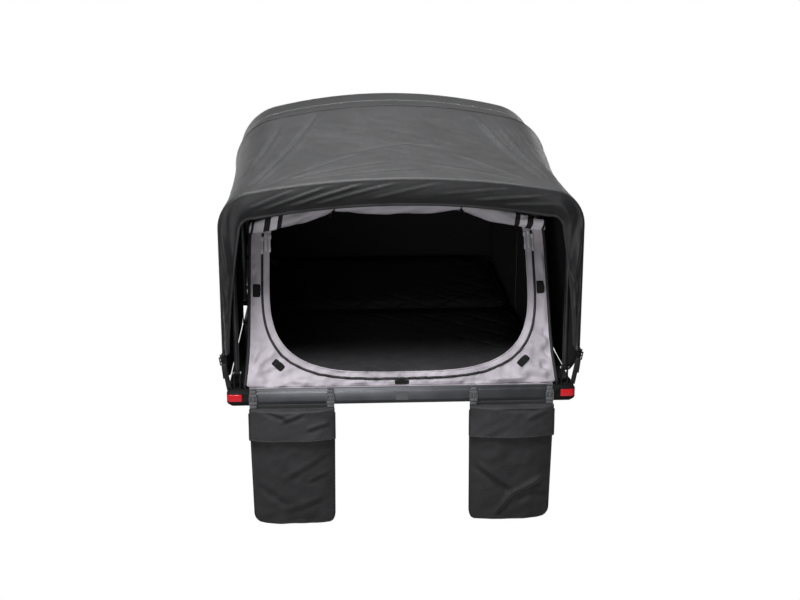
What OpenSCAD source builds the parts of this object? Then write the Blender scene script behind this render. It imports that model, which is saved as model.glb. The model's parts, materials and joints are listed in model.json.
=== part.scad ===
// Folding roof top tent: a two-part base that hinges in the middle, tube bows,
// an inner tent with an open door, a fly sheet on an awning hoop, and two hanging
// shoe bags. Millimetres, +Z up, entrance facing -Y. The origin is the centre of
// the four roof bar bolts, on the underside of the mounting rails.

/* [Base] */
// Width of the base over its side rails
base_w = 1430; // [1300:5:1560]
// Length of one half of the base, from its outer end to the hinge line
half_len = 1150; // [1100:5:1250]
// Height of the perimeter rails
rail_h = 73; // [66:1:90]
// Depth of the rail across each end
end_rail_d = 60; // [55:1:75]
// Width of the rail along each side
side_rail_w = 90; // [88:1:110]
// Wall of every rail extrusion
rail_wall = 3; // [2:0.5:4]
// Chamfer along the lower outer edge of the rails
rail_chamfer = 21; // [16:1:26]
// Height of the recessed cloth groove at the top of the rails
groove_h = 15; // [10:1:20]
// Depth of that groove
groove_d = 8; // [5:0.5:12]
// Thickness of the floor panels
floor_t = 32; // [24:1:36]
// Width of the rail beside the hinge line
centre_rail_d = 40; // [30:1:60]
// Half of the gap between the two base halves
half_gap = 1; // [0.5:0.1:3]

/* [Mounting rails] */
// Height of the mounting rails
mount_h = 30; // [25:1:40]
// Width of the mounting rails
mount_w = 40; // [32:1:60]
// Length of the mounting rails
mount_len = 940; // [800:10:1000]
// Distance between the bolts across the tent
bolt_x = 800; // [600:10:1000]
// Distance between the bolts along the tent
bolt_y = 700; // [500:10:760]
// Radius of the bolt holes
bolt_r = 4.25; // [4:0.05:5.5]

/* [Corner caps] */
// How far the caps stand proud of the rails
cap_proud = 2; // [1:0.5:4]
// Chamfer on the upright corner of each cap
cap_chamfer = 12; // [8:1:16]
// Length of the reflector along the end face
lens_front = 62; // [50:1:75]
// Length of the reflector along the side face
lens_side = 42; // [30:1:60]
// Height of the reflector
lens_h = 32; // [24:1:34]
// Thickness of the reflector
lens_t = 5; // [3:0.5:8]

/* [Bows] */
// Radius of the bow tubes
tube_r = 11; // [9:0.5:13]
// Wall of the bow tubes
tube_wall = 1.5; // [1:0.25:2]
// Distance from the base's side to the centre bow legs
bow_inset = 15; // [15:1:20]
// Clear gap between one bow's legs and the next bow's
bow_gap = 4; // [3:0.5:6]
// Clear gap between stacked bows when they are folded flat
stack_gap = 3; // [2.5:0.5:6]
// Length of the centre bows from pivot to crown
centre_bow_len = 940; // [890:5:960]
// Distance of the centre bow pivots from the hinge line
centre_bow_u = 150; // [120:5:165]
// Elevation of the centre bows when pitched
centre_bow_elev = 85; // [82:1:88]
// Length of the end bows from pivot to crown
end_bow_len = 930; // [860:5:960]
// Distance of the end bow pivots from the hinge line
end_bow_u = 60; // [55:1:70]
// Elevation of the end bows when pitched
end_bow_elev = 46; // [43:1:48]
// Length of the awning hoop from pivot to crown
awning_len = 793; // [740:1:830]
// Distance of the awning pivots from the end of the base
awning_u = 30; // [28:1:40]
// Bend radius at the centre bows' shoulders
centre_bow_bend = 205; // [150:5:230]
// Bend radius at the awning hoop's shoulders
awning_bend = 120; // [100:5:140]
// Bend radius at the end bows' shoulders
end_bow_bend = 60; // [50:5:90]
// Half angle of the centre bows' curved crown
centre_bow_arc = 13; // [10:0.5:15]
// Half angle of the awning hoop's curved crown
awning_arc = 10; // [7:0.5:12]

/* [Pivots] */
// Radius of the bow pivot pins
pin_r = 5; // [4:0.5:6]
// Radial clearance of every pin in its bore
pin_clear = 0.05; // [0.02:0.01:0.1]
// Width of the fitting at the foot of each bow leg
fitting_w = 18; // [16:1:20]
// Thickness of a bracket's ears
ear_t = 4; // [3:0.5:5]
// Thickness of a bracket's foot
foot_t = 4; // [3:0.5:6]
// Length of a bracket's foot along the tent
foot_len = 50; // [44:1:56]
// Radius of the hinge pins
hinge_pin_r = 6; // [5:0.5:8]
// Thickness of the hinge leaves
leaf_t = 8; // [6:0.5:10]
// Running gap between the two leaves of a hinge
leaf_gap = 2; // [1:0.25:3]
// Radius of the hinge eyes
eye_r = 16; // [13:0.5:18]

/* [Mattress] */
// Thickness of the mattress over its crown
mattress_t = 66; // [50:1:75]
// Gap between the mattress and the rails
mattress_gap = 13; // [8:1:25]
// Rise of the mattress crown over its edge
mattress_crown = 14; // [6:1:20]
// How far the long sides draw in between the corners
mattress_draw = 8; // [0:1:15]

/* [Inner tent] */
// Thickness of the inner tent's cloth
cloth_t = 3; // [2:0.5:4]
// Distance of the front and rear walls' hems from the ends of the base
wall_u = 25; // [20:1:30]
// Gap from the bows to the roof cloth below them
roof_gap = 7; // [5:0.5:10]
// Height of the domed part of each cross-section
dome_h = 330; // [280:5:380]
// Sharpness of the upper corners of the end walls and the door
wall_n = 6; // [4:0.5:6.5]
// Height of the cloth edging strip on the front rail
sill_h = 3; // [2:0.5:4]

/* [Door] */
// Width of cloth left beside the door opening
door_side = 82; // [76:1:160]
// Height of the door sill along the wall
door_sill = 54; // [52:1:110]
// Width of cloth left above the door opening
door_head = 40; // [30:1:80]
// Distance from the door opening to its zip
zip_off = 28; // [20:1:36]
// Width of the zip
zip_w = 8; // [6:1:12]
// Thickness of the zip
zip_t = 2.5; // [2:0.5:4]
// Height of the zip's ends over the straight sides of the wall
zip_end = 180; // [120:5:190]
// Radius of the rolled-up door
roll_r = 28; // [24:1:33]
// Drop of the door roll's ends below its middle
roll_drop = 92; // [60:2:100]
// Droop of the door roll between its ties
roll_droop = 8; // [0:1:14]
// Distance of the roll ties from the middle
tie_x = 270; // [200:5:340]

/* [Fly sheet] */
// Thickness of the fly sheet
fly_t = 4; // [3:0.5:5]
// How far the fly reaches past the front of the base
fly_reach = 18; // [14:1:24]
// How far the fly's front edge stands out from the base's side
fly_side = 13; // [9:1:20]
// Height of the fly's front corners over the rails
fly_corner_h = 160; // [140:5:220]
// Height of the fly's hem over the rails beside the centre bows
fly_low_h = 120; // [115:5:200]
// Dip of the fly's side hem towards the front rails
fly_dip = 130; // [90:5:135]
// Height of the cut-out in the fly's hem over the hinge line
fly_mid_h = 400; // [300:5:520]
// Bend radius at the front shoulders of the fly
fly_bend = 150; // [120:5:160]
// Height of the front valance at the middle
valance_h = 108; // [80:2:120]
// Width of the front valance down the sides
valance_side = 74; // [50:2:90]
// How far the feet of the fly's straps stand behind its front edge
fly_strap_lean = 22; // [14:1:30]
// Sag of the fly between the awning hoop and the centre bow
fly_sag = 16; // [0:1:30]
// Height of the tension folds in the fly
fold_h = 7; // [0:0.5:12]
// Number of tension folds on each side of the fly
fold_n = 3; // [2:1:5]

/* [Shoe bags] */
// Width of a bag
bag_w = 350; // [280:5:380]
// Height of a bag
bag_h = 508; // [360:2:540]
// Depth of a bag
bag_d = 46; // [36:1:70]
// Wall of a bag
bag_wall = 3; // [2:0.5:4]
// Gap between a corner cap and the strap beside it
strap_off = 2.5; // [1:0.5:20]
// Radius of a bag's lower corners
bag_corner = 45; // [25:1:60]
// Height of a bag's flap
flap_h = 130; // [110:2:180]
// Width of the webbing
strap_w = 25; // [20:1:30]
// Thickness of the webbing
strap_t = 2; // [1.5:0.25:3]
// Distance between the two straps of a bag
strap_pitch = 316; // [220:2:316]
// Width of a side-release buckle
buckle_w = 34; // [30:1:40]
// Thickness of a side-release buckle
buckle_t = 11; // [9:0.5:14]

/* [Hidden] */
$fn = 48;
fit_gap = 0.3;
hw = base_w / 2;
hinge_y = half_len / 2;
base_z = mount_h;
rail_top = base_z + rail_h;
floor_top = base_z + floor_t;
mattress_top = floor_top + mattress_t;
groove_z = rail_top - groove_h;
// Bow legs nest side by side, and folded bows stack one above another
bow_pitch = 2 * tube_r + bow_gap;
stack_pitch = 2 * tube_r + stack_gap;
centre_bow_x = hw - bow_inset;
awning_x = centre_bow_x - bow_pitch;
end_bow_x = awning_x - bow_pitch;
end_bow_z = max(mattress_top, rail_top + 20) + tube_r + 4;
awning_z = end_bow_z + stack_pitch;
centre_bow_z = awning_z + stack_pitch;
hinge_z = centre_bow_z + tube_r + 4;
// Pivots
fitting_r = fitting_w / 2 + 1;
fitting_len = 18;
spigot_len = 25;
ear_in = fitting_w / 2 + 1;
ear_out = ear_in + ear_t;
ear_r = fitting_r + 2;
pin_head_r = pin_r + 3;
pin_head_t = 3;
hinge_x = (centre_bow_x - ear_out + end_bow_x + ear_out) / 2 + 7;
leaf_foot_w = 28;
leaf_foot_l = 70;
// Inner tent
inner_x = end_bow_x - ear_out - pin_head_t - 3;
door_w = 2 * (inner_x - door_side);
cloth_z = rail_top + sill_h + fit_gap;
hem_z = rail_top + fit_gap;
wall_y = -half_len + wall_u;
// The bow that carries an end wall: its crown, just inside the tube
bow_in = tube_r + roof_gap;
crown_y = -end_bow_u - (end_bow_len - bow_in) * cos(end_bow_elev);
crown_z = end_bow_z + (end_bow_len - bow_in) * sin(end_bow_elev);
wall_slope = atan2(crown_z - cloth_z, crown_y - wall_y);
wall_len = norm([crown_z - cloth_z, crown_y - wall_y]);
wall_mid = wall_len - dome_h;
// Fly sheet
fly_front_y = -half_len - fly_reach;
fly_x = hw + fly_side;
fly_front_top = awning_z + awning_len + tube_r + fit_gap * 3 + fly_t;
fly_centre_off = tube_r + fit_gap * 5 + fly_t;
fly_rear_off = tube_r * 1.4 + fly_t;
fly_corner_z = rail_top + fly_corner_h;
fly_low_z = rail_top + fly_low_h;
fly_mid_z = rail_top + fly_mid_h;
// Shoe bags hang in front of the end rail from the groove
bag_x = hw - side_rail_w - strap_off - strap_w / 2 - strap_pitch / 2;
bag_y = -half_len - strap_t;
bag_top = base_z - 4;
strap_top = rail_top - 2;
buckle_h = 44;
tongue_h = 30;
buckle_top = rail_top - 8;
// The flap turns in front of the buckles, on a ledge along the top of the bag
ledge_d = buckle_t + 2;

// Colours
frame_grey = [0.44, 0.45, 0.47];
moulded_black = [0.09, 0.09, 0.10];
tent_grey = [0.74, 0.72, 0.77];
fly_black = [0.22, 0.22, 0.24];
lens_red = [0.75, 0.05, 0.07];
steel = [0.62, 0.63, 0.65];
foam_grey = [0.25, 0.25, 0.27];
buckle_grey = [0.50, 0.50, 0.53];

// The half that carries the entrance, with the hinge line at y = 0
module on_front() { translate([0, hinge_y, 0]) children(); }

// The half that folds over, as a mirror image
module on_rear() { translate([0, hinge_y, 0]) mirror([0, 1, 0]) children(); }

// A piece and its twin on the other side
module both_sides() {
  children();
  mirror([1, 0, 0]) children();
}

// Signed volume of a mesh, used to turn its faces outwards
function turn(p, f) = cross(p[f[0]], p[f[1]]) * p[f[2]];
function total(list) = len(list) == 0 ? 0 : list * [for (v = list) 1];
function facing(p, f) = total([for (t = f) turn(p, t)]) < 0 ? f
  : [for (t = f) [t[2], t[1], t[0]]];

// Two triangles over a quad
function quad(a, b, c, d) = [[a, b, c], [a, c, d]];

// A sheet of cloth between two grids of points, one for each face
module skin(outer, inner) {
  rows = len(outer);
  cols = len(outer[0]);
  off = rows * cols;
  points = concat([for (r = outer) for (p = r) p], [for (r = inner) for (p = r) p]);
  faces = concat(
    [for (k = [0:rows - 2]) for (i = [0:cols - 2]) let (a = k * cols + i)
      each concat(quad(a, a + 1, a + cols + 1, a + cols),
        quad(off + a, off + a + cols, off + a + cols + 1, off + a + 1))],
    [for (k = [0:rows - 2]) let (a = k * cols, b = a + cols - 1)
      each concat(quad(a, a + cols, off + a + cols, off + a),
        quad(b, off + b, off + b + cols, b + cols))],
    [for (i = [0:cols - 2]) let (b = (rows - 1) * cols + i)
      each concat(quad(i, off + i, off + i + 1, i + 1),
        quad(b, b + 1, off + b + 1, off + b))]);
  polyhedron(points, facing(points, faces));
}

// A closed body through a stack of rings with the same number of points
module stack(rings) {
  n = len(rings[0]);
  m = len(rings);
  points = concat([for (r = rings) for (p = r) p],
    [total_point(rings[0]) / n, total_point(rings[m - 1]) / n]);
  faces = concat(
    [for (k = [0:m - 2]) for (i = [0:n - 1]) let (a = k * n, j = (i + 1) % n)
      each quad(a + i, a + j, a + n + j, a + n + i)],
    [for (i = [0:n - 1]) let (j = (i + 1) % n, e = (m - 1) * n)
      each [[m * n, j, i], [m * n + 1, e + i, e + j]]]);
  polyhedron(points, facing(points, faces));
}
function total_point(list) = [for (k = [0:2]) total([for (p = list) p[k]])];

// Signed power, for super-ellipses
function spow(v, e) = sign(v) * pow(abs(v), e);

// Closed oval in a wall's plane, with its own sharpness above and below the middle
function oval(a, mid, up, down, n_up, n_down, m = 64) = [for (i = [0:m - 1])
  let (t = 180 - 360 * i / m, n = sin(t) >= -0.0001 ? n_up : n_down)
  [a * spow(cos(t), 2 / n), mid + (sin(t) >= 0 ? up : down) * spow(sin(t), 2 / n)]];

// Cross-section of the inner tent: straight sides under a dome
function dome(a, foot, top, n = 3.6, m = 24) = concat([[-a, foot]],
  [for (i = [0:m]) let (t = 180 - 180 * i / m)
    [a * spow(cos(t), 2 / n), top - dome_h + dome_h * spow(sin(t), 2 / n)]],
  [[a, foot]]);

// Centre line of a bow: straight legs, two shoulder bends and a curved crown
function crown_r(a, bend, arc) = (a - bend) / sin(max(arc, 0.02)) + bend;
function leg_end(a, top, bend, arc) =
  top - bend * cos(arc) - crown_r(a, bend, arc) * (1 - cos(arc));
function arch(a, foot, top, bend, arc, nl = 3, nc = 6, nt = 12) =
  let (zs = leg_end(a, top, bend, arc), r = crown_r(a, bend, arc)) concat(
    [for (i = [0:nl - 1]) [-a, foot + (zs - foot) * i / nl]],
    [for (i = [0:nc - 1]) let (t = 180 - (90 - arc) * i / nc)
      [bend - a + bend * cos(t), zs + bend * sin(t)]],
    [for (i = [0:nt]) let (t = 90 + max(arc, 0.02) * (1 - 2 * i / nt))
      [r * cos(t), top - r + r * sin(t)]],
    [for (i = [1:nc]) let (t = (90 - arc) * (1 - i / nc))
      [a - bend + bend * cos(t), zs + bend * sin(t)]],
    [for (i = [1:nl]) [a, zs + (foot - zs) * i / nl]]);

// A point of a plane that leans towards the entrance from a pivot line
function lean(p, u, z, elev) = [p[0], u - p[1] * cos(elev), z + p[1] * sin(elev)];
function upright(p, y) = [p[0], y, p[1]];

// Outline of a rail: recessed groove on top, chamfer below, d measured inwards
function rail_outline(d, w = 0) = [
  [w, base_z + rail_chamfer], [rail_chamfer, base_z + w], [d - w, base_z + w],
  [d - w, rail_top - w], [groove_d + w, rail_top - w],
  [groove_d + w, groove_z + 4 - w], [w, groove_z - w]];

// A length of rail along x with its outer face at y = 0
module rail_bar(d, x0, x1) {
  translate([x0, 0, 0]) rotate([90, 0, 90]) linear_extrude(x1 - x0)
    polygon(rail_outline(d));
}

// The hollow inside such a rail
module rail_hollow(d, x0, x1) {
  translate([x0, 0, 0]) rotate([90, 0, 90]) linear_extrude(x1 - x0)
    polygon(rail_outline(d, rail_wall));
}

// Rail across the outer end of a base half
module end_rail() {
  x = hw - side_rail_w - fit_gap;
  color(frame_grey) translate([0, -half_len, 0]) difference() {
    rail_bar(end_rail_d, -x, x);
    rail_hollow(end_rail_d, -x - 1, x + 1);
  }
}

// Rails along both sides of a base half, closed at the hinge line
module side_rails() {
  start = -half_len + side_rail_w + fit_gap;
  color(frame_grey) both_sides() translate([hw, 0, 0]) rotate([0, 0, 90])
    difference() {
      rail_bar(side_rail_w, start, -half_gap);
      rail_hollow(side_rail_w, start - 1, -half_gap - 2 * rail_wall);
    }
}

// Box section beside the hinge line
module centre_rail() {
  x = hw - side_rail_w - fit_gap;
  y = -half_gap - centre_rail_d;
  color(frame_grey) difference() {
    translate([-x, y, base_z]) cube([2 * x, centre_rail_d, floor_t]);
    translate([-x - 1, y + rail_wall, base_z + rail_wall])
      cube([2 * x + 2, centre_rail_d - 2 * rail_wall, floor_t - 2 * rail_wall]);
  }
}

// Floor panel inside the rails
module floor_panel() {
  x = hw - side_rail_w - fit_gap;
  y0 = -half_len + end_rail_d + fit_gap;
  y1 = -half_gap - centre_rail_d - fit_gap;
  color([0.16, 0.16, 0.17]) translate([-x, y0, base_z]) cube([2 * x, y1 - y0, floor_t]);
}

// Plan outline of a corner cap, drawn in by w from its outer faces
function cap_plan(w) = let (x = hw + cap_proud - w, y = -half_len - cap_proud + w,
  c = cap_chamfer - w * 0.586) [
  [hw - side_rail_w, y], [x - c, y], [x, y + c], [x, -half_len + side_rail_w],
  [hw - side_rail_w, -half_len + side_rail_w]];

// The corner block: both rail outlines meet in it
module cap_block() {
  d = side_rail_w + cap_proud;
  intersection() {
    translate([0, -half_len - cap_proud, 0])
      rail_bar(d, hw - side_rail_w, hw + cap_proud);
    translate([hw + cap_proud, 0, 0]) rotate([0, 0, 90])
      rail_bar(d, -half_len - cap_proud, -half_len + side_rail_w);
    linear_extrude(rail_top + 1) polygon(cap_plan(0));
  }
}

// Band round the corner where the reflector sits, g larger on its free sides
module lens_band(g) {
  z = groove_z - (groove_z - base_z - rail_chamfer) / 2;
  h = lens_h + 2 * g;
  translate([0, 0, z - h / 2]) linear_extrude(h) difference() {
    intersection() {
      polygon(cap_plan(0));
      translate([hw + cap_proud - lens_front - g, -half_len - cap_proud])
        square([lens_front + g, lens_side + g]);
    }
    polygon(cap_plan(lens_t));
  }
}

// Spigots that locate a cap in the ends of its two rails
module cap_spigots() {
  d0 = rail_chamfer + fit_gap;
  z0 = base_z + rail_wall + fit_gap;
  h = rail_h - 2 * rail_wall - 2 * fit_gap;
  translate([hw - side_rail_w - 30, -half_len + d0, z0])
    cube([31, end_rail_d - rail_wall - fit_gap - d0, h]);
  translate([hw - side_rail_w + rail_wall + fit_gap, -half_len + side_rail_w - 1, z0])
    cube([side_rail_w - rail_wall - fit_gap - d0, 31, h]);
}

// Moulded caps on the two outer corners of a base half
module corner_caps(pocket) {
  color(moulded_black) both_sides() {
    difference() {
      cap_block();
      if (pocket) lens_band(fit_gap);
    }
    cap_spigots();
  }
}

// Rolled edge of cloth as a super-ellipse ring at one height of the mattress
function pad_ring(a, b, z, y, draw) = [for (i = [0:55]) let (t = 360 * i / 56,
  c = spow(cos(t), 2 / 9), s = spow(sin(t), 2 / 9))
  [c * (a - draw * (1 - s * s)), y + s * (b - draw * (1 - c * c)), z]];

// Mattress of one half: flat below, drawn-in sides and a crowned top
module mattress() {
  x = hw - side_rail_w - mattress_gap;
  y0 = -half_len + end_rail_d + mattress_gap;
  y1 = -half_gap - mattress_gap / 2;
  b = (y1 - y0) / 2;
  z = floor_top + fit_gap;
  edge = mattress_t - fit_gap - mattress_crown;
  draw = mattress_draw;
  color(foam_grey) stack([
    pad_ring(x - 12, b - 12, z, (y0 + y1) / 2, draw),
    pad_ring(x - 2, b - 2, z + 10, (y0 + y1) / 2, draw),
    pad_ring(x - 5, b - 5, z + edge / 2, (y0 + y1) / 2, draw),
    pad_ring(x, b, z + edge - 12, (y0 + y1) / 2, draw),
    pad_ring(x - 9, b - 9, z + edge, (y0 + y1) / 2, draw),
    pad_ring(x * 0.86, b * 0.88, z + edge + mattress_crown * 0.62, (y0 + y1) / 2, draw),
    pad_ring(x * 0.62, b * 0.66, z + edge + mattress_crown * 0.92, (y0 + y1) / 2, draw),
    pad_ring(x * 0.30, b * 0.34, z + edge + mattress_crown, (y0 + y1) / 2, 0)]);
}

// A cylinder along x between two stations
module bar_x(x0, x1, r) { translate([x0, 0, 0]) rotate([0, 90, 0]) cylinder(h = x1 - x0, r = r); }

// Clevis bracket on the rail top for a bow leg at x, y with its pin at height z
module pivot_bracket(x, y, z) {
  difference() {
    union() {
      translate([x - ear_out, y - foot_len / 2, rail_top])
        cube([2 * ear_out, foot_len, foot_t]);
      for (side = [-ear_out, ear_in]) {
        translate([x + side, y - ear_r, rail_top]) cube([ear_t, 2 * ear_r, z - rail_top]);
        translate([0, y, z]) bar_x(x + side, x + side + ear_t, ear_r);
      }
    }
    translate([0, y, z]) bar_x(x - ear_out - 1, x + ear_out + 1, pin_r + pin_clear);
  }
}

// Headed pin through such a bracket
module pivot_pin(x, y, z) {
  reach = ear_out + fit_gap;
  translate([0, y, z]) {
    bar_x(x - reach - pin_head_t, x + reach + pin_head_t, pin_r);
    bar_x(x - reach - pin_head_t, x - reach, pin_head_r);
    bar_x(x + reach, x + reach + pin_head_t, pin_head_r);
  }
}

// Cross-section of the bow tube
module tube_section() {
  difference() {
    circle(tube_r);
    circle(tube_r - tube_wall);
  }
}

// Bent tube standing in the xz plane about the origin
module tube_bend(radius, from, to) {
  rotate([90, 0, 0]) rotate([0, 0, from])
    rotate_extrude(angle = to - from, $fn = 360)
      translate([radius, 0]) tube_section();
}

// Bow tube standing up from its pivots: two legs, two bends and a crown, curved or level,
// whose sections butt together with a hair of clearance
module bow_tube(a, top, bend, arc) {
  zs = leg_end(a, top, bend, arc);
  big = crown_r(a, bend, arc);
  short = arc - fit_gap / big * 180 / PI;
  both_sides() {
    translate([a, 0, fitting_len]) linear_extrude(zs - fitting_len - fit_gap) tube_section();
    translate([a - bend, 0, zs]) tube_bend(bend, 0, 90 - arc);
  }
  if (arc > 1) translate([0, 0, top - big]) tube_bend(big, 90 - short, 90 + short);
  else translate([bend + fit_gap - a, 0, top]) rotate([0, 90, 0])
    linear_extrude(2 * (a - bend - fit_gap)) tube_section();
}

// Bored fittings in the feet of a bow
module bow_fittings(a) {
  both_sides() difference() {
    union() {
      bar_x(a - fitting_w / 2, a + fitting_w / 2, fitting_r);
      translate([a - fitting_w / 2, -fitting_w / 2, 0])
        cube([fitting_w, fitting_w, fitting_len - fit_gap]);
      translate([a, 0, fitting_len - fit_gap - 1])
        cylinder(h = spigot_len, r = tube_r - tube_wall - 0.1);
    }
    bar_x(a - fitting_w, a + fitting_w, pin_r + pin_clear);
  }
}

// Places of the three kinds of bow, at rest
module at_centre_bow() {
  translate([0, -centre_bow_u, centre_bow_z]) rotate([90 - centre_bow_elev, 0, 0]) children();
}
module at_end_bow() {
  translate([0, -end_bow_u, end_bow_z]) rotate([90 - end_bow_elev, 0, 0]) children();
}
module at_awning() { translate([0, -half_len + awning_u, awning_z]) children(); }

// One leaf of a base hinge with its eye on the hinge line
module hinge_leaf(x) {
  u = leaf_foot_l + 2 * half_gap;
  difference() {
    union() {
      translate([hinge_x - leaf_foot_w / 2, -u, rail_top])
        cube([leaf_foot_w, leaf_foot_l, foot_t]);
      translate([x, 0, 0]) rotate([90, 0, 90]) linear_extrude(leaf_t) polygon([
        [-u + 4, rail_top], [-2 * half_gap, rail_top],
        [eye_r * 0.9, hinge_z - eye_r * 0.43], [-eye_r * 0.9, hinge_z + eye_r * 0.43]]);
      translate([0, 0, hinge_z]) bar_x(x, x + leaf_t, eye_r);
    }
    translate([0, 0, hinge_z]) bar_x(x - 1, x + leaf_t + 1, hinge_pin_r + pin_clear);
  }
}

// Frame of the slanting front wall: x across, y up the slope, z out of the cloth
module on_wall() {
  translate([0, wall_y, cloth_z]) rotate([wall_slope, 0, 0]) children();
}
function wall_outline(grow = 0) =
  oval(inner_x + grow, wall_mid, dome_h + grow, wall_mid + grow, wall_n, 24);
function door_outline(grow) = oval(door_w / 2 + grow, wall_mid, dome_h - door_head + grow,
  wall_mid - door_sill + grow, wall_n, 3.4);

// Lower part of an outline strip that runs round the door
module door_strip(w, off) {
  difference() {
    polygon(door_outline(off + w / 2));
    polygon(door_outline(off - w / 2));
    translate([-hw, wall_mid + zip_end]) square([base_w, wall_len]);
  }
}

// The inner tent's rings: the edge of the end wall, the centre bow and the hinge line
function inner_rings(t) = let (a = inner_x - t) [
  [for (p = dome(a, (hem_z - cloth_z) / sin(wall_slope), wall_len - t, wall_n))
    [p[0], wall_y + fit_gap / sin(wall_slope) + p[1] * cos(wall_slope),
      cloth_z + p[1] * sin(wall_slope)]],
  [for (p = dome(a, (hem_z - centre_bow_z) / sin(centre_bow_elev),
    centre_bow_len - bow_in - t, 2.5)) lean(p, -centre_bow_u, centre_bow_z, centre_bow_elev)],
  [for (p = dome(a, hem_z, centre_bow_z + centre_bow_len - bow_in - 8 - t, 2.5))
    upright(p, -half_gap)]];

// Sides and roof of the inner tent over one half
module inner_half() { color(tent_grey) skin(inner_rings(0), inner_rings(cloth_t)); }

// The fly's rings from the awning to the hinge line, drawn in by t
function fly_edge(t, y) = [for (p = arch(fly_x - t, fly_corner_z, fly_front_top - t,
  fly_bend - t, awning_arc)) upright(p, y)];
function fly_centre(t, off) = [for (p = arch(centre_bow_x + off - t,
  fly_low_z - centre_bow_z, centre_bow_len + off - t,
  centre_bow_bend + off - t, centre_bow_arc))
  lean(p, -centre_bow_u, centre_bow_z, centre_bow_elev)];
function fly_ridge(t) = [for (p = arch(centre_bow_x + fly_centre_off - t, fly_mid_z,
  centre_bow_z + centre_bow_len + fly_centre_off - 6 - t,
  centre_bow_bend + fly_centre_off - t, centre_bow_arc)) upright(p, -half_gap)];

// Between two rings the cloth sags, its hem curves and tension folds run to the shoulders
function fly_between(a, b, k, dip) = let (n = len(a), s = sin(180 * k))
  [for (i = [0:n - 1]) let (v = i / (n - 1), q = abs(2 * v - 1),
    side = q > 0.62 ? 1 : 0, leg = max(0, q - 0.8) / 0.2,
    fold = fold_h * s * sin(360 * fold_n * (k + 1.4 * q)) * (q > 0.25 && q < 0.8 ? 1 : 0))
    a[i] * (1 - k) + b[i] * k
      - [sign(v - 0.5) * (fly_sag * 0.35 * s * side + fold * side),
        0, (fly_sag * s + fold) * (1 - side) + dip * pow(s, 0.35) * leg]];
function fly_rings(t) = let (a = fly_edge(t, -half_len + awning_u + tube_r),
  b = fly_centre(t, fly_centre_off))
  concat([fly_edge(t, fly_front_y)],
    [for (k = [0:8]) fly_between(a, b, k / 8, fly_dip)], [fly_ridge(t)]);

// The rear of the fly lies over the rear bow and comes down to the rear rail
function fly_tail(t) = let (top = end_bow_len + fly_centre_off - t,
  a = centre_bow_x + fly_centre_off - t,
  ring = arch(a, 0, top, end_bow_bend + fly_centre_off + 30 - t, 0),
  zs = leg_end(a, top, end_bow_bend + fly_centre_off + 30 - t, 0),
  foot = [-half_len - 6 + t, cloth_z + 26],
  shoulder = [-end_bow_u - zs * cos(end_bow_elev), end_bow_z + zs * sin(end_bow_elev)])
  [for (p = ring) p[1] < zs - 0.01
    ? let (k = p[1] / zs, q = foot * (1 - k) + shoulder * k) [p[0], q[0], q[1]]
    : lean(p, -end_bow_u, end_bow_z, end_bow_elev)];
function tail_rings(t) = let (a = fly_tail(t), b = fly_centre(t, fly_rear_off))
  concat([for (k = [0:5]) fly_between(a, b, k / 5, -26)], [fly_ridge(t)]);

// Back panel of the fly, from the rear bow down to the rear rail
function back_rows(t) = let (ring = fly_tail(0), n = len(ring), y = -half_len - 6,
  draw = 1 - (fly_t + 2 * fit_gap) / (centre_bow_x + fly_centre_off))
  [for (k = [0:4]) [for (i = [3:n - 4]) let (p = ring[i], s = k / 4, x = p[0] * draw)
    [x, y * (1 - s) + (p[1] - 2 * fly_t) * s + t, (cloth_z + 26) * (1 - s) + (p[2] - fly_t) * s]]];

module mounting_rails() {
  color(steel) both_sides() difference() {
    translate([bolt_x / 2 - mount_w / 2, -mount_len / 2, 0]) cube([mount_w, mount_len, mount_h]);
    translate([bolt_x / 2 - mount_w / 2 + rail_wall, -mount_len / 2 - 1, rail_wall])
      cube([mount_w - 2 * rail_wall, mount_len + 2, mount_h - 2 * rail_wall]);
    for (y = [-bolt_y / 2, bolt_y / 2])
      translate([bolt_x / 2, y, -1]) cylinder(h = rail_wall + 2, r = bolt_r);
  }
}
module front_floor_panel() { on_front() floor_panel(); }
module front_end_rail() { on_front() end_rail(); }
module front_side_rails() { on_front() side_rails(); }
module front_centre_rail() { on_front() centre_rail(); }
module front_corner_caps() { on_front() corner_caps(true); }
module reflectors() {
  color(lens_red) on_front() both_sides() intersection() {
    cap_block();
    lens_band(0);
  }
}
module front_mattress() { on_front() mattress(); }
module front_hinge_leaves() {
  color(steel) on_front() both_sides() hinge_leaf(hinge_x - leaf_gap / 2 - leaf_t);
}
module hinge_pins() {
  reach = leaf_t + leaf_gap / 2 + fit_gap;
  color(steel) on_front() both_sides() translate([0, 0, hinge_z]) {
    bar_x(hinge_x - reach - 3, hinge_x + reach + 3, hinge_pin_r);
    bar_x(hinge_x - reach - 3, hinge_x - reach, hinge_pin_r + 3);
    bar_x(hinge_x + reach, hinge_x + reach + 3, hinge_pin_r + 3);
  }
}
module awning_brackets() {
  color(moulded_black) on_front() both_sides()
    pivot_bracket(awning_x, -half_len + awning_u, awning_z);
}
module front_bow_brackets() {
  color(steel) on_front() both_sides() pivot_bracket(end_bow_x, -end_bow_u, end_bow_z);
}
module centre_front_brackets() {
  color(steel) on_front() both_sides()
    pivot_bracket(centre_bow_x, -centre_bow_u, centre_bow_z);
}
module front_pivot_pins() {
  color(steel) on_front() both_sides() {
    pivot_pin(awning_x, -half_len + awning_u, awning_z);
    pivot_pin(end_bow_x, -end_bow_u, end_bow_z);
    pivot_pin(centre_bow_x, -centre_bow_u, centre_bow_z);
  }
}

// Cloth edging held along the top of the front rail
module sill_strip() {
  x = inner_x - cloth_t - fit_gap;
  color(tent_grey) on_front()
    translate([-x, wall_y - 7, rail_top]) cube([2 * x, 14, sill_h]);
}

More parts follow.
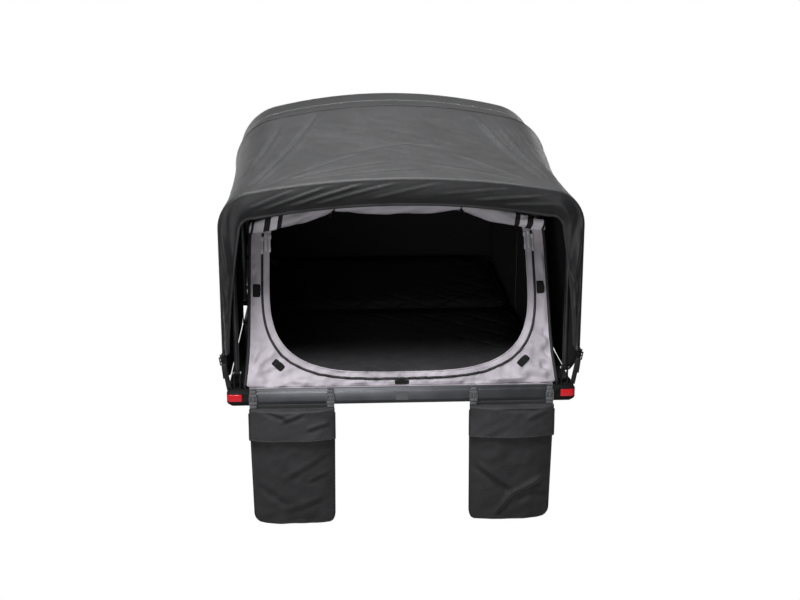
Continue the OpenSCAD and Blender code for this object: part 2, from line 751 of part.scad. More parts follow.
// Grey webbing tab round the middle of the front rail
module rail_tab() {
  h = groove_z - base_z - rail_chamfer;
  color(buckle_grey) on_front() translate([-strap_w, -half_len - strap_t, base_z + rail_chamfer])
    cube([2 * strap_w, strap_t, h]);
}

// Webbing that leads from the sill over the rail to each bag strap
module bag_loops() {
  y0 = -half_len - strap_t + fit_gap;
  y1 = wall_y - 7 - fit_gap;
  color(buckle_grey) on_front() both_sides() for (x = [-strap_pitch / 2, strap_pitch / 2])
    translate([bag_x + x - strap_w / 2, y0, rail_top]) cube([strap_w, y1 - y0, strap_t]);
}
module front_wall() {
  color(tent_grey) on_front() on_wall() linear_extrude(cloth_t) difference() {
    polygon(wall_outline());
    polygon(door_outline(0));
  }
}
module inner_front() { on_front() inner_half(); }
module fly_front() { color(fly_black) on_front() skin(fly_rings(0), fly_rings(fly_t)); }

// Front face of the fly: a deep band over the door and a tapering one down each side
module fly_valance() {
  foot = valance_side * 0.45;
  outer = arch(fly_x - fly_t - fit_gap, fly_corner_z, fly_front_top - fly_t - fit_gap,
    fly_bend - fly_t, awning_arc);
  head = arch(fly_x - valance_side, fly_corner_z + 260, fly_front_top - valance_h,
    fly_bend, awning_arc * 0.8);
  inner = concat([[-fly_x + foot, fly_corner_z - 1]], head, [[fly_x - foot, fly_corner_z - 1]]);
  color(fly_black) on_front() translate([0, fly_front_y + 2 * fly_t, 0]) rotate([90, 0, 0])
    linear_extrude(fly_t) difference() {
      polygon(outer);
      polygon(inner);
    }
}

// Webbing from the fly's front corners down to the corner caps, with ladder-locks
module fly_straps() {
  w = strap_w * 0.8;
  rise = fly_corner_z - rail_top - 3 * fit_gap;
  slant = atan2(fly_x - hw + w / 2, rise);
  lean = atan2(fly_strap_lean, rise);
  seat = (w / 2 + cap_proud - groove_d) * tan(slant);
  run = (rise - seat - w / 2 * sin(slant)) / cos(slant) / cos(lean) - 1;
  foot_y = fly_front_y + 1.5 * fly_t + fly_strap_lean;
  color(moulded_black) on_front() both_sides()
    translate([hw - w / 2, foot_y, rail_top + fit_gap + seat]) rotate([lean, slant, 0])
      translate([-w / 2, 0, 0]) {
        cube([w, strap_t, run]);
        translate([-3, -5 - fit_gap, run - 46]) difference() {
          cube([w + 6, 5, 34]);
          for (z = [5, 19]) translate([3, -1, z]) cube([w, 7, 9]);
        }
      }
}
module door_zip() {
  color(moulded_black) on_front() on_wall() translate([0, 0, cloth_t + fit_gap])
    linear_extrude(zip_t) door_strip(zip_w, zip_off);
}

// Hook-and-loop tabs that hold the storm flap over the zip
module door_tabs() {
  side = door_w / 2 + zip_off + zip_w / 2 + 22;
  diag = door_outline(zip_off + zip_w / 2 + 30)[40];
  color(moulded_black) on_front() on_wall() translate([0, 0, cloth_t + fit_gap]) {
    both_sides() {
      translate([side - 15, wall_mid - 102, 0]) cube([30, 55, zip_t]);
      translate([diag[0] - 4, diag[1] + 2, 0]) rotate([0, 0, 45])
        translate([-14, -27, 0]) cube([28, 54, zip_t]);
    }
    translate([-30, 2, 0]) cube([60, door_sill - zip_off - zip_w / 2 - 4, zip_t]);
  }
}

// Centre line of the rolled-up door: it droops between its ties, and from them to the
// upper corners of the wall
function roll_line(k) = let (x = inner_x * (2 * k - 1), far = max(0, abs(x) - tie_x),
  droop = far > 0 ? 0 : roll_droop * pow(sin(90 * (x / tie_x + 1)), 2))
  let (k = far / (inner_x - tie_x))
  [x, wall_len - door_head - roll_drop * k * (1.5 - 0.5 * k) - droop, cloth_t + fit_gap + roll_r];
roll_n = 40;
module door_roll() {
  n = roll_n;
  color(tent_grey) on_front() on_wall() stack([for (k = [0:n]) let (
    p = roll_line(k / n), tie = pow(cos(180 * (p[0] / tie_x + 1) / 2), 8),
    r = roll_r * (1 - 0.16 * tie) * (1 - 0.25 * pow(abs(2 * k / n - 1), 10)))
    [for (i = [0:11]) let (t = 30 * i) [p[0], p[1] + r * cos(t), p[2] + r * sin(t)]]]);
}

// Ties that hold the rolled door: a band round the roll with a toggle
module roll_ties() {
  color(moulded_black) on_front() on_wall() both_sides() {
    at = (0.5 + tie_x / (2 * inner_x)) * roll_n;
    k = floor(at);
    p = roll_line(k / roll_n) * (1 - at + k) + roll_line((k + 1) / roll_n) * (at - k);
    r = roll_r * 0.85 + 2 * fit_gap + 0.6;
    translate([p[0], p[1], p[2]]) rotate([0, 90, 0]) translate([0, 0, -5]) difference() {
      cylinder(h = 10, r = roll_r);
      translate([0, 0, -1]) cylinder(h = 12, r = r);
    }
    translate([p[0], p[1] - r - 1, p[2]]) rotate([90, 0, 0]) cylinder(h = 24, r = 5);
  }
}
module rear_floor_panel() { on_rear() floor_panel(); }
module rear_end_rail() { on_rear() end_rail(); }
module rear_side_rails() { on_rear() side_rails(); }
module rear_centre_rail() { on_rear() centre_rail(); }
module rear_corner_caps() { on_rear() corner_caps(false); }
module rear_mattress() { on_rear() mattress(); }
module rear_hinge_leaves() {
  color(steel) on_rear() both_sides() hinge_leaf(hinge_x + leaf_gap / 2);
}
module rear_bow_brackets() {
  color(steel) on_rear() both_sides() pivot_bracket(end_bow_x, -end_bow_u, end_bow_z);
}
module centre_rear_brackets() {
  color(steel) on_rear() both_sides() pivot_bracket(centre_bow_x, -centre_bow_u, centre_bow_z);
}
module rear_pivot_pins() {
  color(steel) on_rear() both_sides() {
    pivot_pin(end_bow_x, -end_bow_u, end_bow_z);
    pivot_pin(centre_bow_x, -centre_bow_u, centre_bow_z);
  }
}
module rear_wall() {
  color(tent_grey) on_rear() on_wall() linear_extrude(cloth_t) polygon(wall_outline());
}
module inner_rear() { on_rear() inner_half(); }
module fly_rear() { color(fly_black) on_rear() skin(tail_rings(0), tail_rings(fly_t)); }
module fly_back() { color(fly_black) on_rear() skin(back_rows(0), back_rows(fly_t)); }

module awning_hoop() {
  color(moulded_black) on_front() at_awning()
    bow_tube(awning_x, awning_len, awning_bend, awning_arc);
}
module awning_hoop_ends() { color(moulded_black) on_front() at_awning() bow_fittings(awning_x); }
module front_bow() {
  color(steel) on_front() at_end_bow()
    bow_tube(end_bow_x, end_bow_len, end_bow_bend, 0);
}
module front_bow_ends() { color(moulded_black) on_front() at_end_bow() bow_fittings(end_bow_x); }
module centre_front_bow() {
  color(steel) on_front() at_centre_bow()
    bow_tube(centre_bow_x, centre_bow_len, centre_bow_bend, centre_bow_arc);
}
module centre_front_bow_ends() {
  color(moulded_black) on_front() at_centre_bow() bow_fittings(centre_bow_x);
}
module centre_rear_bow() {
  color(steel) on_rear() at_centre_bow()
    bow_tube(centre_bow_x, centre_bow_len, centre_bow_bend, centre_bow_arc);
}
module centre_rear_bow_ends() {
  color(moulded_black) on_rear() at_centre_bow() bow_fittings(centre_bow_x);
}
module rear_bow() {
  color(steel) on_rear() at_end_bow()
    bow_tube(end_bow_x, end_bow_len, end_bow_bend, 0);
}
module rear_bow_ends() { color(moulded_black) on_rear() at_end_bow() bow_fittings(end_bow_x); }

// Zip slider with its hanging pull
module zip_slider() {
  x = door_w / 2 + zip_off;
  color(steel) on_front() on_wall()
    translate([x, wall_mid + zip_end - 30, cloth_t + 2 * fit_gap + zip_t]) {
      translate([-6, -9, 0]) cube([12, 18, 4]);
      translate([-4, -52, 1]) cube([8, 44, 2]);
    }
}
module right_zip_slider() { zip_slider(); }
module left_zip_slider() { mirror([1, 0, 0]) zip_slider(); }

// Front outline of a bag, drawn in by w, with rounded lower corners
module bag_outline(w) {
  a = bag_w / 2 - w;
  r = bag_corner - w;
  translate([-a, -bag_h + w + r]) square([2 * a, bag_h - w - r]);
  translate([-a + r, -bag_h + w]) square([2 * a - 2 * r, r + 1]);
  for (s = [-1, 1]) translate([s * (a - r), -bag_h + w + r]) circle(r);
}

// Open pouch sewn from panels with a hair of clearance: a back panel carried up to the ledge
// and the straps, a lower front panel, and a gusset round the sides, corners and foot
module bag() {
  mouth = 46;
  deep = bag_d - 2 * bag_wall - 2 * fit_gap;
  side_h = bag_h - mouth - bag_corner - fit_gap;
  a = bag_w / 2;
  color(fly_black) on_front() translate([bag_x, bag_y, bag_top]) {
    rotate([90, 0, 0]) linear_extrude(bag_wall) bag_outline(0);
    translate([0, -bag_d + bag_wall, 0]) rotate([90, 0, 0]) linear_extrude(bag_wall)
      intersection() {
        bag_outline(0);
        translate([-bag_w, -bag_h]) square([2 * bag_w, bag_h - mouth]);
      }
    translate([-a, -ledge_d, -bag_wall]) cube([bag_w, ledge_d - bag_wall - fit_gap, bag_wall]);
    translate([0, -bag_wall - fit_gap - deep, 0]) both_sides() {
      translate([a - bag_wall, 0, -mouth - side_h]) cube([bag_wall, deep, side_h]);
      translate([a - bag_corner, deep, -bag_h + bag_corner]) rotate([90, 0, 0])
        linear_extrude(deep) gusset_corner();
    }
    translate([-a + bag_corner + fit_gap, -bag_wall - fit_gap - deep, -bag_h])
      cube([bag_w - 2 * bag_corner - 2 * fit_gap, deep, bag_wall]);
  }
}

// Quarter ring of the gusset round a lower corner of a bag
module gusset_corner() {
  difference() {
    circle(bag_corner);
    circle(bag_corner - bag_wall);
    translate([-bag_corner, 0]) square([2 * bag_corner, bag_corner]);
    translate([-bag_corner, -bag_corner]) square([bag_corner, 2 * bag_corner]);
  }
}

// Flap over the mouth: a short top and a long front, stitched at the fold
module bag_flap() {
  top = 3;
  y = bag_y - ledge_d - fit_gap;
  d = bag_d - ledge_d + 3;
  color(fly_black) on_front() translate([bag_x - bag_w / 2, 0, bag_top]) {
    translate([0, y - d, -top]) cube([bag_w, d, top]);
    translate([0, y - d, -flap_h]) cube([bag_w, 2.5, flap_h - top - fit_gap]);
  }
}

// Two straps stitched to the back of a bag
module bag_straps() {
  color(buckle_grey) on_front() for (x = [-strap_pitch / 2, strap_pitch / 2])
    translate([bag_x + x - strap_w / 2, bag_y + fit_gap, bag_top - 60])
      cube([strap_w, strap_t - 2 * fit_gap, strap_top - bag_top + 60]);
}

// Side-release buckles: a body on each strap and the tongue below it
module bag_buckles() {
  low = bag_top + 2 * fit_gap;
  seam = buckle_top - buckle_h;
  color(buckle_grey) on_front() for (x = [-strap_pitch / 2, strap_pitch / 2])
    translate([bag_x + x, bag_y, 0]) {
      difference() {
        translate([-buckle_w / 2, -buckle_t, seam]) cube([buckle_w, buckle_t, buckle_h]);
        for (s = [-1, 1]) translate([s * buckle_w / 2 - 3, -buckle_t - 1, seam + 10])
          cube([6, buckle_t + 2, 18]);
        translate([-strap_w / 2, -buckle_t - 1, seam + buckle_h - 12])
          cube([strap_w, buckle_t - 2, 7]);
      }
      translate([-buckle_w * 0.42, -buckle_t * 0.85, low])
        cube([buckle_w * 0.84, buckle_t * 0.8, seam - fit_gap - low]);
    }
}
module right_bag() { bag(); }
module right_bag_flap() { bag_flap(); }
module right_bag_straps() { bag_straps(); }
module right_bag_buckles() { bag_buckles(); }
module left_bag() { mirror([1, 0, 0]) bag(); }
module left_bag_flap() { mirror([1, 0, 0]) bag_flap(); }
module left_bag_straps() { mirror([1, 0, 0]) bag_straps(); }
module left_bag_buckles() { mirror([1, 0, 0]) bag_buckles(); }

mounting_rails();
front_floor_panel();
front_end_rail();
front_side_rails();
front_centre_rail();
front_corner_caps();
reflectors();
front_mattress();
front_hinge_leaves();
hinge_pins();
awning_brackets();
front_bow_brackets();
centre_front_brackets();
front_pivot_pins();
sill_strip();
rail_tab();
bag_loops();
front_wall();
inner_front();
fly_front();
fly_valance();
fly_straps();
door_zip();
door_tabs();
door_roll();
roll_ties();
rear_floor_panel();
rear_end_rail();
rear_side_rails();
rear_centre_rail();
rear_corner_caps();
rear_mattress();
rear_hinge_leaves();
rear_bow_brackets();
centre_rear_brackets();
rear_pivot_pins();
rear_wall();
inner_rear();
fly_rear();
fly_back();
awning_hoop();
awning_hoop_ends();
front_bow();
front_bow_ends();
centre_front_bow();
centre_front_bow_ends();
centre_rear_bow();
centre_rear_bow_ends();
rear_bow();
rear_bow_ends();
left_zip_slider();
right_zip_slider();
left_bag();
left_bag_flap();
left_bag_straps();
left_bag_buckles();
right_bag();
right_bag_flap();
right_bag_straps();
right_bag_buckles();
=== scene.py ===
import json
import math

import bmesh
import bpy
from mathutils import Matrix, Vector, noise


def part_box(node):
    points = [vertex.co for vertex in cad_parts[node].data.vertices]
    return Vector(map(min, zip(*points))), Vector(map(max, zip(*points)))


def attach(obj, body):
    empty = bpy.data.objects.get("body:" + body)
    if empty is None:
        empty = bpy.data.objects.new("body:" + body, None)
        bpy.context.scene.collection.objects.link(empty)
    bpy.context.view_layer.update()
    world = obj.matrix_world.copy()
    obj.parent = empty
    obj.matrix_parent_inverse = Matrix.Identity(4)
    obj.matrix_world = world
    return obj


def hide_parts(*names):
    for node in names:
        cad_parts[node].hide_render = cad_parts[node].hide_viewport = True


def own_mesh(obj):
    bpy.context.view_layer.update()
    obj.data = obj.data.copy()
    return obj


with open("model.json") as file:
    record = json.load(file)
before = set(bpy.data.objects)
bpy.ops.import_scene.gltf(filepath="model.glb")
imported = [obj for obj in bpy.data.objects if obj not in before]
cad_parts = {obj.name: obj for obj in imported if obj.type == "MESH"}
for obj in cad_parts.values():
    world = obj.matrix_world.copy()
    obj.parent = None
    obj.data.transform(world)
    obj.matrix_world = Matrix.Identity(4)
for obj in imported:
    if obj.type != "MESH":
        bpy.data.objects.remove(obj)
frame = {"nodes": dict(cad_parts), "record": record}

scene = bpy.context.scene
cad_nodes = frame["nodes"]
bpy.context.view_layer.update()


# Studio: the camera stands in front of the entrance, a little above the roof and to the left,
# over a plain pale floor. A broad soft light hangs over the tent, a smaller one stands before it,
# and a low strip fills the front. Floor and room are white to the camera and dim to all else.
def linked(name, data):
    piece = bpy.data.objects.new(name, data)
    scene.collection.objects.link(piece)
    return piece


def feed(l, value, socket):
    """Links another node's output to a socket, or sets the socket to a number or a colour."""
    if isinstance(value, bpy.types.NodeSocket):
        l.new(value, socket)
    else:
        socket.default_value = (*value, 1) if isinstance(value, tuple) else value


def math_node(n, l, operation, *terms):
    made = n.new("ShaderNodeMath")
    made.operation = operation
    for term, socket in zip(terms, made.inputs):
        feed(l, term, socket)
    return made.outputs[0]


def soft_light(name, place, aim, size, power):
    lamp = bpy.data.lights.new(name, "AREA")
    lamp.shape = "RECTANGLE"
    lamp.size, lamp.size_y = size
    lamp.energy = power
    lit = linked(name, lamp)
    lit.location = place
    lit.rotation_euler = (Vector(aim) - Vector(place)).to_track_quat("-Z", "Y").to_euler()


WHITE, FLOOR_Z, DIM = (1, 1, 1), -2, 0.12
camera = linked("camera", bpy.data.cameras.new("camera"))
camera.data.lens = 58.1
camera.data.sensor_width = 36.0
camera.data.clip_end = 900
camera.location = (-0.27, -5.575, 1.858)
camera.rotation_euler = (math.radians(90 - 15.43), 0, math.radians(-2.99))
scene.camera = camera

floor_mesh = bpy.data.meshes.new("floor")
floor_mesh.from_pydata([(x, y, FLOOR_Z) for x, y in
                        ((-300, -60), (300, -60), (300, 500), (-300, 500))], [], [(0, 1, 2, 3)])
studio_floor = linked("studio_floor", floor_mesh)
floor_paint = bpy.data.materials.new("pale_floor")
floor_paint.use_nodes = True
n, l = floor_paint.node_tree.nodes, floor_paint.node_tree.links
floor_shader = n["Principled BSDF"]
feed(l, (0.20, 0.20, 0.203), floor_shader.inputs["Base Color"])
feed(l, 0.9, floor_shader.inputs["Roughness"])
backdrop = n.new("ShaderNodeEmission")
feed(l, WHITE, backdrop.inputs["Color"])
either = n.new("ShaderNodeMixShader")
in_view = n.new("ShaderNodeLightPath").outputs["Is Camera Ray"]
for source, socket in zip((in_view, floor_shader.outputs[0], backdrop.outputs[0]), either.inputs):
    l.new(source, socket)
l.new(either.outputs[0], n["Material Output"].inputs["Surface"])
floor_mesh.materials.append(floor_paint)

room = bpy.data.worlds.new("studio")
room.use_nodes = True
n, l = room.node_tree.nodes, room.node_tree.links
in_view = n.new("ShaderNodeLightPath").outputs["Is Camera Ray"]
feed(l, WHITE, n["Background"].inputs["Color"])
feed(l, math_node(n, l, "MULTIPLY_ADD", in_view, 1 - DIM, DIM), n["Background"].inputs["Strength"])
scene.world = room
scene.view_settings.view_transform = "Standard"
soft_light("overhead", (0.1, 0.6, 4.6), (0, 0.0, 0.8), (4.0, 2.6), 235)
soft_light("key", (-1.4, -2.5, 4.9), (0, -0.5, 0.2), (2.2, 1.8), 270)
soft_light("front_fill", (-1.2, -5.6, 0.60), (0, -0.5, 0.45), (2.6, 0.9), 95)


# Mounting rails: two drawn alloy box sections under the fixed half, bored for the roof bar bolts.
# The mill finish shows fine lines along the bar and a few dull handling marks.
def effect_group(name, inputs, outputs=("Height", "Shade")):
    group = bpy.data.node_groups.new(name, "ShaderNodeTree")
    for label, value in inputs:
        socket = group.interface.new_socket(label, in_out="INPUT", socket_type="NodeSocketFloat")
        socket.default_value = value
    for label in outputs:
        group.interface.new_socket(label, in_out="OUTPUT", socket_type="NodeSocketFloat")
    return group, group.nodes.new("NodeGroupInput"), group.nodes.new("NodeGroupOutput")


def noise_node(n, l, place, scale, detail, roughness=0.5, distortion=0.0):
    made = n.new("ShaderNodeTexNoise")
    for label, value in (("Vector", place), ("Scale", scale), ("Detail", detail),
                         ("Roughness", roughness), ("Distortion", distortion)):
        feed(l, value, made.inputs[label])
    return made.outputs["Fac"]


drawn_lines, lines_in, lines_out = effect_group("drawn_lines", [("Along", 3.0), ("Across", 420.0)])
n, l = drawn_lines.nodes, drawn_lines.links
place = n.new("ShaderNodeTexCoord").outputs["Object"]
parts = n.new("ShaderNodeSeparateXYZ")
packed = n.new("ShaderNodeCombineXYZ")
l.new(place, parts.inputs[0])
for axis, rate in (("X", "Along"), ("Y", "Along"), ("Z", "Across")):
    l.new(math_node(n, l, "MULTIPLY", parts.outputs[axis], lines_in.outputs[rate]),
          packed.inputs[axis])
l.new(noise_node(n, l, packed.outputs[0], 1.0, 3.0), lines_out.inputs["Height"])
l.new(noise_node(n, l, place, 7.0, 4.0), lines_out.inputs["Shade"])


def new_finish(name, roughness, metallic=0.0, **sockets):
    """A material with its shader; sockets are constants set on the shader itself."""
    finish = bpy.data.materials.new(name)
    finish.use_nodes = True
    shader = finish.node_tree.nodes["Principled BSDF"]
    shader.inputs["Roughness"].default_value = roughness
    shader.inputs["Metallic"].default_value = metallic
    for label, value in sockets.items():
        shader.inputs[label.replace("_", " ").title().replace("Ior", "IOR")].default_value = value
    return finish, finish.node_tree.nodes, finish.node_tree.links, shader


def spread(n, l, mask, low, high, to_low=0.0, to_high=1.0):
    made = n.new("ShaderNodeMapRange")
    for label, value in (("Value", mask), ("From Min", low), ("From Max", high),
                         ("To Min", to_low), ("To Max", to_high)):
        feed(l, value, made.inputs[label])
    return made.outputs[0]


def mixed(n, l, share, deep, pale):
    made = n.new("ShaderNodeMix")
    made.data_type = "RGBA"
    for socket, value in ((0, share), (6, deep), (7, pale)):
        feed(l, value, made.inputs[socket])
    return made.outputs[2]


def two_tone(n, l, shader, mask, deep, pale, low=0.35, high=0.65):
    """Base colour that runs from deep to pale over a mask."""
    tone = mixed(n, l, spread(n, l, mask, low, high), deep, pale)
    l.new(tone, shader.inputs["Base Color"])


def vary_roughness(n, l, shader, mask, low, high):
    l.new(spread(n, l, mask, 0.3, 0.7, low, high), shader.inputs["Roughness"])


def relief(n, l, shader, *layers):
    """Bump layers (height, depth in metres, strength), one on another, into the normal."""
    last = None
    for height, depth, strength in layers:
        bump = n.new("ShaderNodeBump")
        bump.inputs["Distance"].default_value = depth
        bump.inputs["Strength"].default_value = strength
        l.new(height, bump.inputs["Height"])
        if last:
            l.new(last.outputs[0], bump.inputs["Normal"])
        last = bump
    l.new(last.outputs[0], shader.inputs["Normal"])


def place_group(n, group, **values):
    box = n.new("ShaderNodeGroup")
    box.node_tree = group
    for label, value in values.items():
        box.inputs[label.title()].default_value = value
    return box


def alloy_finish(name, deep, pale, roughness, metallic=0.9):
    finish, n, l, shader = new_finish(name, roughness, metallic)
    lines = place_group(n, drawn_lines)
    two_tone(n, l, shader, lines.outputs["Shade"], deep, pale)
    vary_roughness(n, l, shader, lines.outputs["Shade"], roughness - 0.07, roughness + 0.08)
    relief(n, l, shader, (lines.outputs["Height"], 0.0004, 0.25))
    return finish


def dress(node, finish):
    """A CAD node keeps its shape and takes a finish."""
    mesh = cad_nodes[node].data
    mesh.materials.clear()
    mesh.materials.append(finish)


def settle(piece):
    """Leaves the result of a piece's modifiers as its mesh."""
    bpy.context.view_layer.update()
    shaped = piece.evaluated_get(bpy.context.evaluated_depsgraph_get())
    mesh = bpy.data.meshes.new_from_object(shaped)
    piece.modifiers.clear()
    piece.data = mesh


def piece_of(work, name):
    """A new object with the mesh that was worked on."""
    mesh = bpy.data.meshes.new(name)
    work.to_mesh(mesh)
    work.free()
    return linked(name, mesh)


def smooth_by_angle(piece, finish, degrees=40):
    """A piece takes a finish and is shaded smooth, but for its sharper edges."""
    piece.data.materials.clear()
    piece.data.materials.append(finish)
    work = bmesh.new()
    work.from_mesh(piece.data)
    for face in work.faces:
        face.smooth = True
    for edge in work.edges:
        two_sided = len(edge.link_faces) == 2
        edge.smooth = two_sided and edge.calc_face_angle(0) < math.radians(degrees)
    work.to_mesh(piece.data)
    work.free()


def fixed(piece, body, slot, *nodes):
    """A piece moves with a body and may stand for CAD nodes, which it hides; the slot is not used.
    """
    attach(piece, body)
    if nodes:
        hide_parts(*nodes)


def softened(node, finish, width, slot, segments=2):
    """A rigid node with its sharp edges broken, as the real moulding or extrusion has them."""
    work = bmesh.new()
    work.from_mesh(cad_nodes[node].data)
    bmesh.ops.remove_doubles(work, verts=work.verts, dist=1e-5)
    bmesh.ops.dissolve_limit(work, angle_limit=math.radians(1), verts=work.verts, edges=work.edges)
    piece = piece_of(work, node + "_edged")
    edge = piece.modifiers.new("edges", "BEVEL")
    edge.width = width
    edge.segments = segments
    edge.limit_method = "ANGLE"
    edge.angle_limit = math.radians(35)
    settle(piece)
    smooth_by_angle(piece, finish)
    fixed(piece, body_of[node], slot, node)


body_of = {node: body for body, group in frame["record"]["behaviour"]["bodies"].items()
           for node in group}
mill_alloy = alloy_finish("mill_alloy", (0.42, 0.43, 0.45), (0.58, 0.59, 0.61), 0.36)
softened("mounting_rails", mill_alloy, 0.0012, "mount_alloy")


# Floor boards: one coated panel in each half, dropped inside the rails.
# The black coating has an orange-peel texture and dusty patches.
soft_cloud, cloud_in, cloud_out = effect_group("soft_cloud", [("Size", 14.0), ("Fine", 90.0)])
n, l = soft_cloud.nodes, soft_cloud.links
place = n.new("ShaderNodeTexCoord").outputs["Object"]
broad = noise_node(n, l, place, cloud_in.outputs["Size"], 5.0, distortion=0.4)
l.new(broad, cloud_out.inputs["Shade"])
l.new(noise_node(n, l, place, cloud_in.outputs["Fine"], 3.0), cloud_out.inputs["Height"])

coated_board, n, l, shader = new_finish("coated_board", 0.55)
cloudy = place_group(n, soft_cloud, size=5.0, fine=260.0)
two_tone(n, l, shader, cloudy.outputs["Shade"], (0.018, 0.018, 0.02), (0.05, 0.05, 0.052))
vary_roughness(n, l, shader, cloudy.outputs["Shade"], 0.45, 0.68)
relief(n, l, shader, (cloudy.outputs["Height"], 0.0008, 0.4))
for node in ("front_floor_panel", "rear_floor_panel"):
    dress(node, coated_board)


# Perimeter rails: grey anodised extrusions with a cloth groove on top and a wide chamfer below,
# butted between the corner caps; box sections close each half beside the hinge line.
anodised_grey = alloy_finish("anodised_grey", (0.115, 0.12, 0.13), (0.15, 0.155, 0.168), 0.42, 0.75)
for node in ("front_end_rail", "rear_end_rail", "front_side_rails", "rear_side_rails"):
    softened(node, anodised_grey, 0.0016, "rail_alloy")
for node in ("front_centre_rail", "rear_centre_rail"):
    softened(node, anodised_grey, 0.001, "rail_alloy")


# Corner caps: glass-filled nylon mouldings that close the rail ends, chamfered like the rails.
# A fine spark-eroded grain breaks up the light, with paler rubbed patches.
moulded_grain, grain_in, grain_out = effect_group("moulded_grain",
                                                  [("Grain", 900.0), ("Rub", 16.0)])
n, l = moulded_grain.nodes, moulded_grain.links
place = n.new("ShaderNodeTexCoord").outputs["Object"]
pebble = n.new("ShaderNodeTexVoronoi")
l.new(place, pebble.inputs["Vector"])
l.new(grain_in.outputs["Grain"], pebble.inputs["Scale"])
l.new(pebble.outputs["Distance"], grain_out.inputs["Height"])
l.new(noise_node(n, l, place, grain_in.outputs["Rub"], 6.0, 0.65), grain_out.inputs["Shade"])


def moulding_finish(name, deep, pale, roughness, grain=900.0, **sockets):
    finish, n, l, shader = new_finish(name, roughness, **sockets)
    speck = place_group(n, moulded_grain, grain=grain)
    two_tone(n, l, shader, speck.outputs["Shade"], deep, pale, 0.42, 0.72)
    vary_roughness(n, l, shader, speck.outputs["Shade"], roughness - 0.06, roughness + 0.1)
    relief(n, l, shader, (speck.outputs["Height"], 0.0005, 0.3))
    return finish


black_nylon = moulding_finish("black_nylon", (0.004, 0.004, 0.0045), (0.010, 0.010, 0.011), 0.5,
                              specular_ior_level=0.22)
for node in ("front_corner_caps", "rear_corner_caps"):
    softened(node, black_nylon, 0.0035, "moulded_black", 3)


# Reflectors: red acrylic lenses let into the front caps and wrapped round the corner.
# Rows of small prisms behind a glossy face catch the light as bumps, and their glints are painted
# too: each prism's red is brighter at its centre and darker at its rim.
red_lens, n, l, shader = new_finish("red_lens", 0.12, coat_weight=0.8, specular_ior_level=0.7)
prisms = n.new("ShaderNodeTexVoronoi")
prisms.distance = "CHEBYCHEV"
prisms.inputs["Scale"].default_value = 190.0
prisms.inputs["Randomness"].default_value = 0.0
l.new(n.new("ShaderNodeTexCoord").outputs["Object"], prisms.inputs["Vector"])
# Painted glints: each prism's red runs from bright at its centre to darker at its rim.
two_tone(n, l, shader, prisms.outputs["Distance"], (1.0, 0.035, 0.05), (0.70, 0.010, 0.018),
         0.1, 0.5)
relief(n, l, shader, (prisms.outputs["Distance"], 0.0012, 0.35))
softened("reflectors", red_lens, 0.003, "reflector_red", 3)


# Mattress: one foam pad in each half in a sewn, quilted cover. The form is inflated as cloth,
# then the quilting is pulled in and a piped seam runs round the edge.
def cut_pattern(n, l):
    """Across and along a cloth's cut, in metres."""
    cut = n.new("ShaderNodeUVMap")
    cut.uv_map = "cloth"
    parts = n.new("ShaderNodeSeparateXYZ")
    l.new(cut.outputs[0], parts.inputs[0])
    return parts.outputs["X"], parts.outputs["Y"]


woven_threads, weave_in, weave_out = effect_group("woven_threads", [("Threads", 420.0)], ["Height"])
n, l = woven_threads.nodes, woven_threads.links
waves = []
for axis in cut_pattern(n, l):
    rate = math_node(n, l, "MULTIPLY", axis, weave_in.outputs["Threads"])
    waves.append(math_node(n, l, "SINE", math_node(n, l, "MULTIPLY", rate, 2 * math.pi)))
cross = math_node(n, l, "MULTIPLY", *waves)
l.new(math_node(n, l, "MULTIPLY_ADD", cross, 0.5, 0.5), weave_out.inputs["Height"])


def cloth_finish(name, deep, pale, roughness, threads=420.0, crease=0.003, size=14.0, **sockets):
    finish, n, l, shader = new_finish(name, roughness, **sockets)
    weave = place_group(n, woven_threads, threads=threads)
    cloudy = place_group(n, soft_cloud, size=size, fine=size * 4)
    two_tone(n, l, shader, cloudy.outputs["Shade"], deep, pale, 0.3, 0.7)
    vary_roughness(n, l, shader, cloudy.outputs["Shade"], roughness - 0.06, roughness + 0.06)
    relief(n, l, shader, (cloudy.outputs["Height"], crease, 0.35),
           (weave.outputs["Height"], 0.0006, 0.35))
    return finish


def signed_power(v, e):
    return math.copysign(abs(v) ** e, v)


def grid_faces(rows, count, closed=True, looped=False):
    """Faces of rows of points; closed joins each row's ends, looped the last row to the first."""
    return [(k * count + i, k * count + (i + 1) % count,
             (k + 1) % rows * count + (i + 1) % count, (k + 1) % rows * count + i)
            for k in range(rows if looped else rows - 1)
            for i in range(count if closed else count - 1)]


def tube_along(name, points, radius, finish, sides=8, closed=False, flat=1.0, up=(0, 0, 1)):
    """A cord or binding swept along points; flat under 1 makes it a ribbon."""
    points = [Vector(p) for p in points]
    count = len(points)
    verts = []
    side = None
    for i, p in enumerate(points):
        ahead = points[(i + 1) % count] if closed or i < count - 1 else p
        back = points[i - 1] if closed or i > 0 else p
        run = (ahead - back).normalized()
        if side is None:
            side = run.cross(Vector(up))
            if side.length < 1e-4:
                side = run.cross(Vector((0, 1, 0.01)))
        side = (side - run * side.dot(run)).normalized()
        rise = side.cross(run)
        for k in range(sides):
            turn = 2 * math.pi * (k + 0.5) / sides
            verts.append(p + side * radius * math.cos(turn) + rise * radius * flat * math.sin(turn))
    faces = grid_faces(count, sides, looped=closed)
    if not closed:
        faces.append(tuple(range(sides)))
        faces.append(tuple(reversed(range((count - 1) * sides, count * sides))))
    mesh = bpy.data.meshes.new(name)
    mesh.from_pydata(verts, [], faces)
    work = bmesh.new()
    work.from_mesh(mesh)
    bmesh.ops.recalc_face_normals(work, faces=work.faces)
    work.to_mesh(mesh)
    work.free()
    mesh.shade_smooth()
    mesh.materials.append(finish)
    return linked(name, mesh)


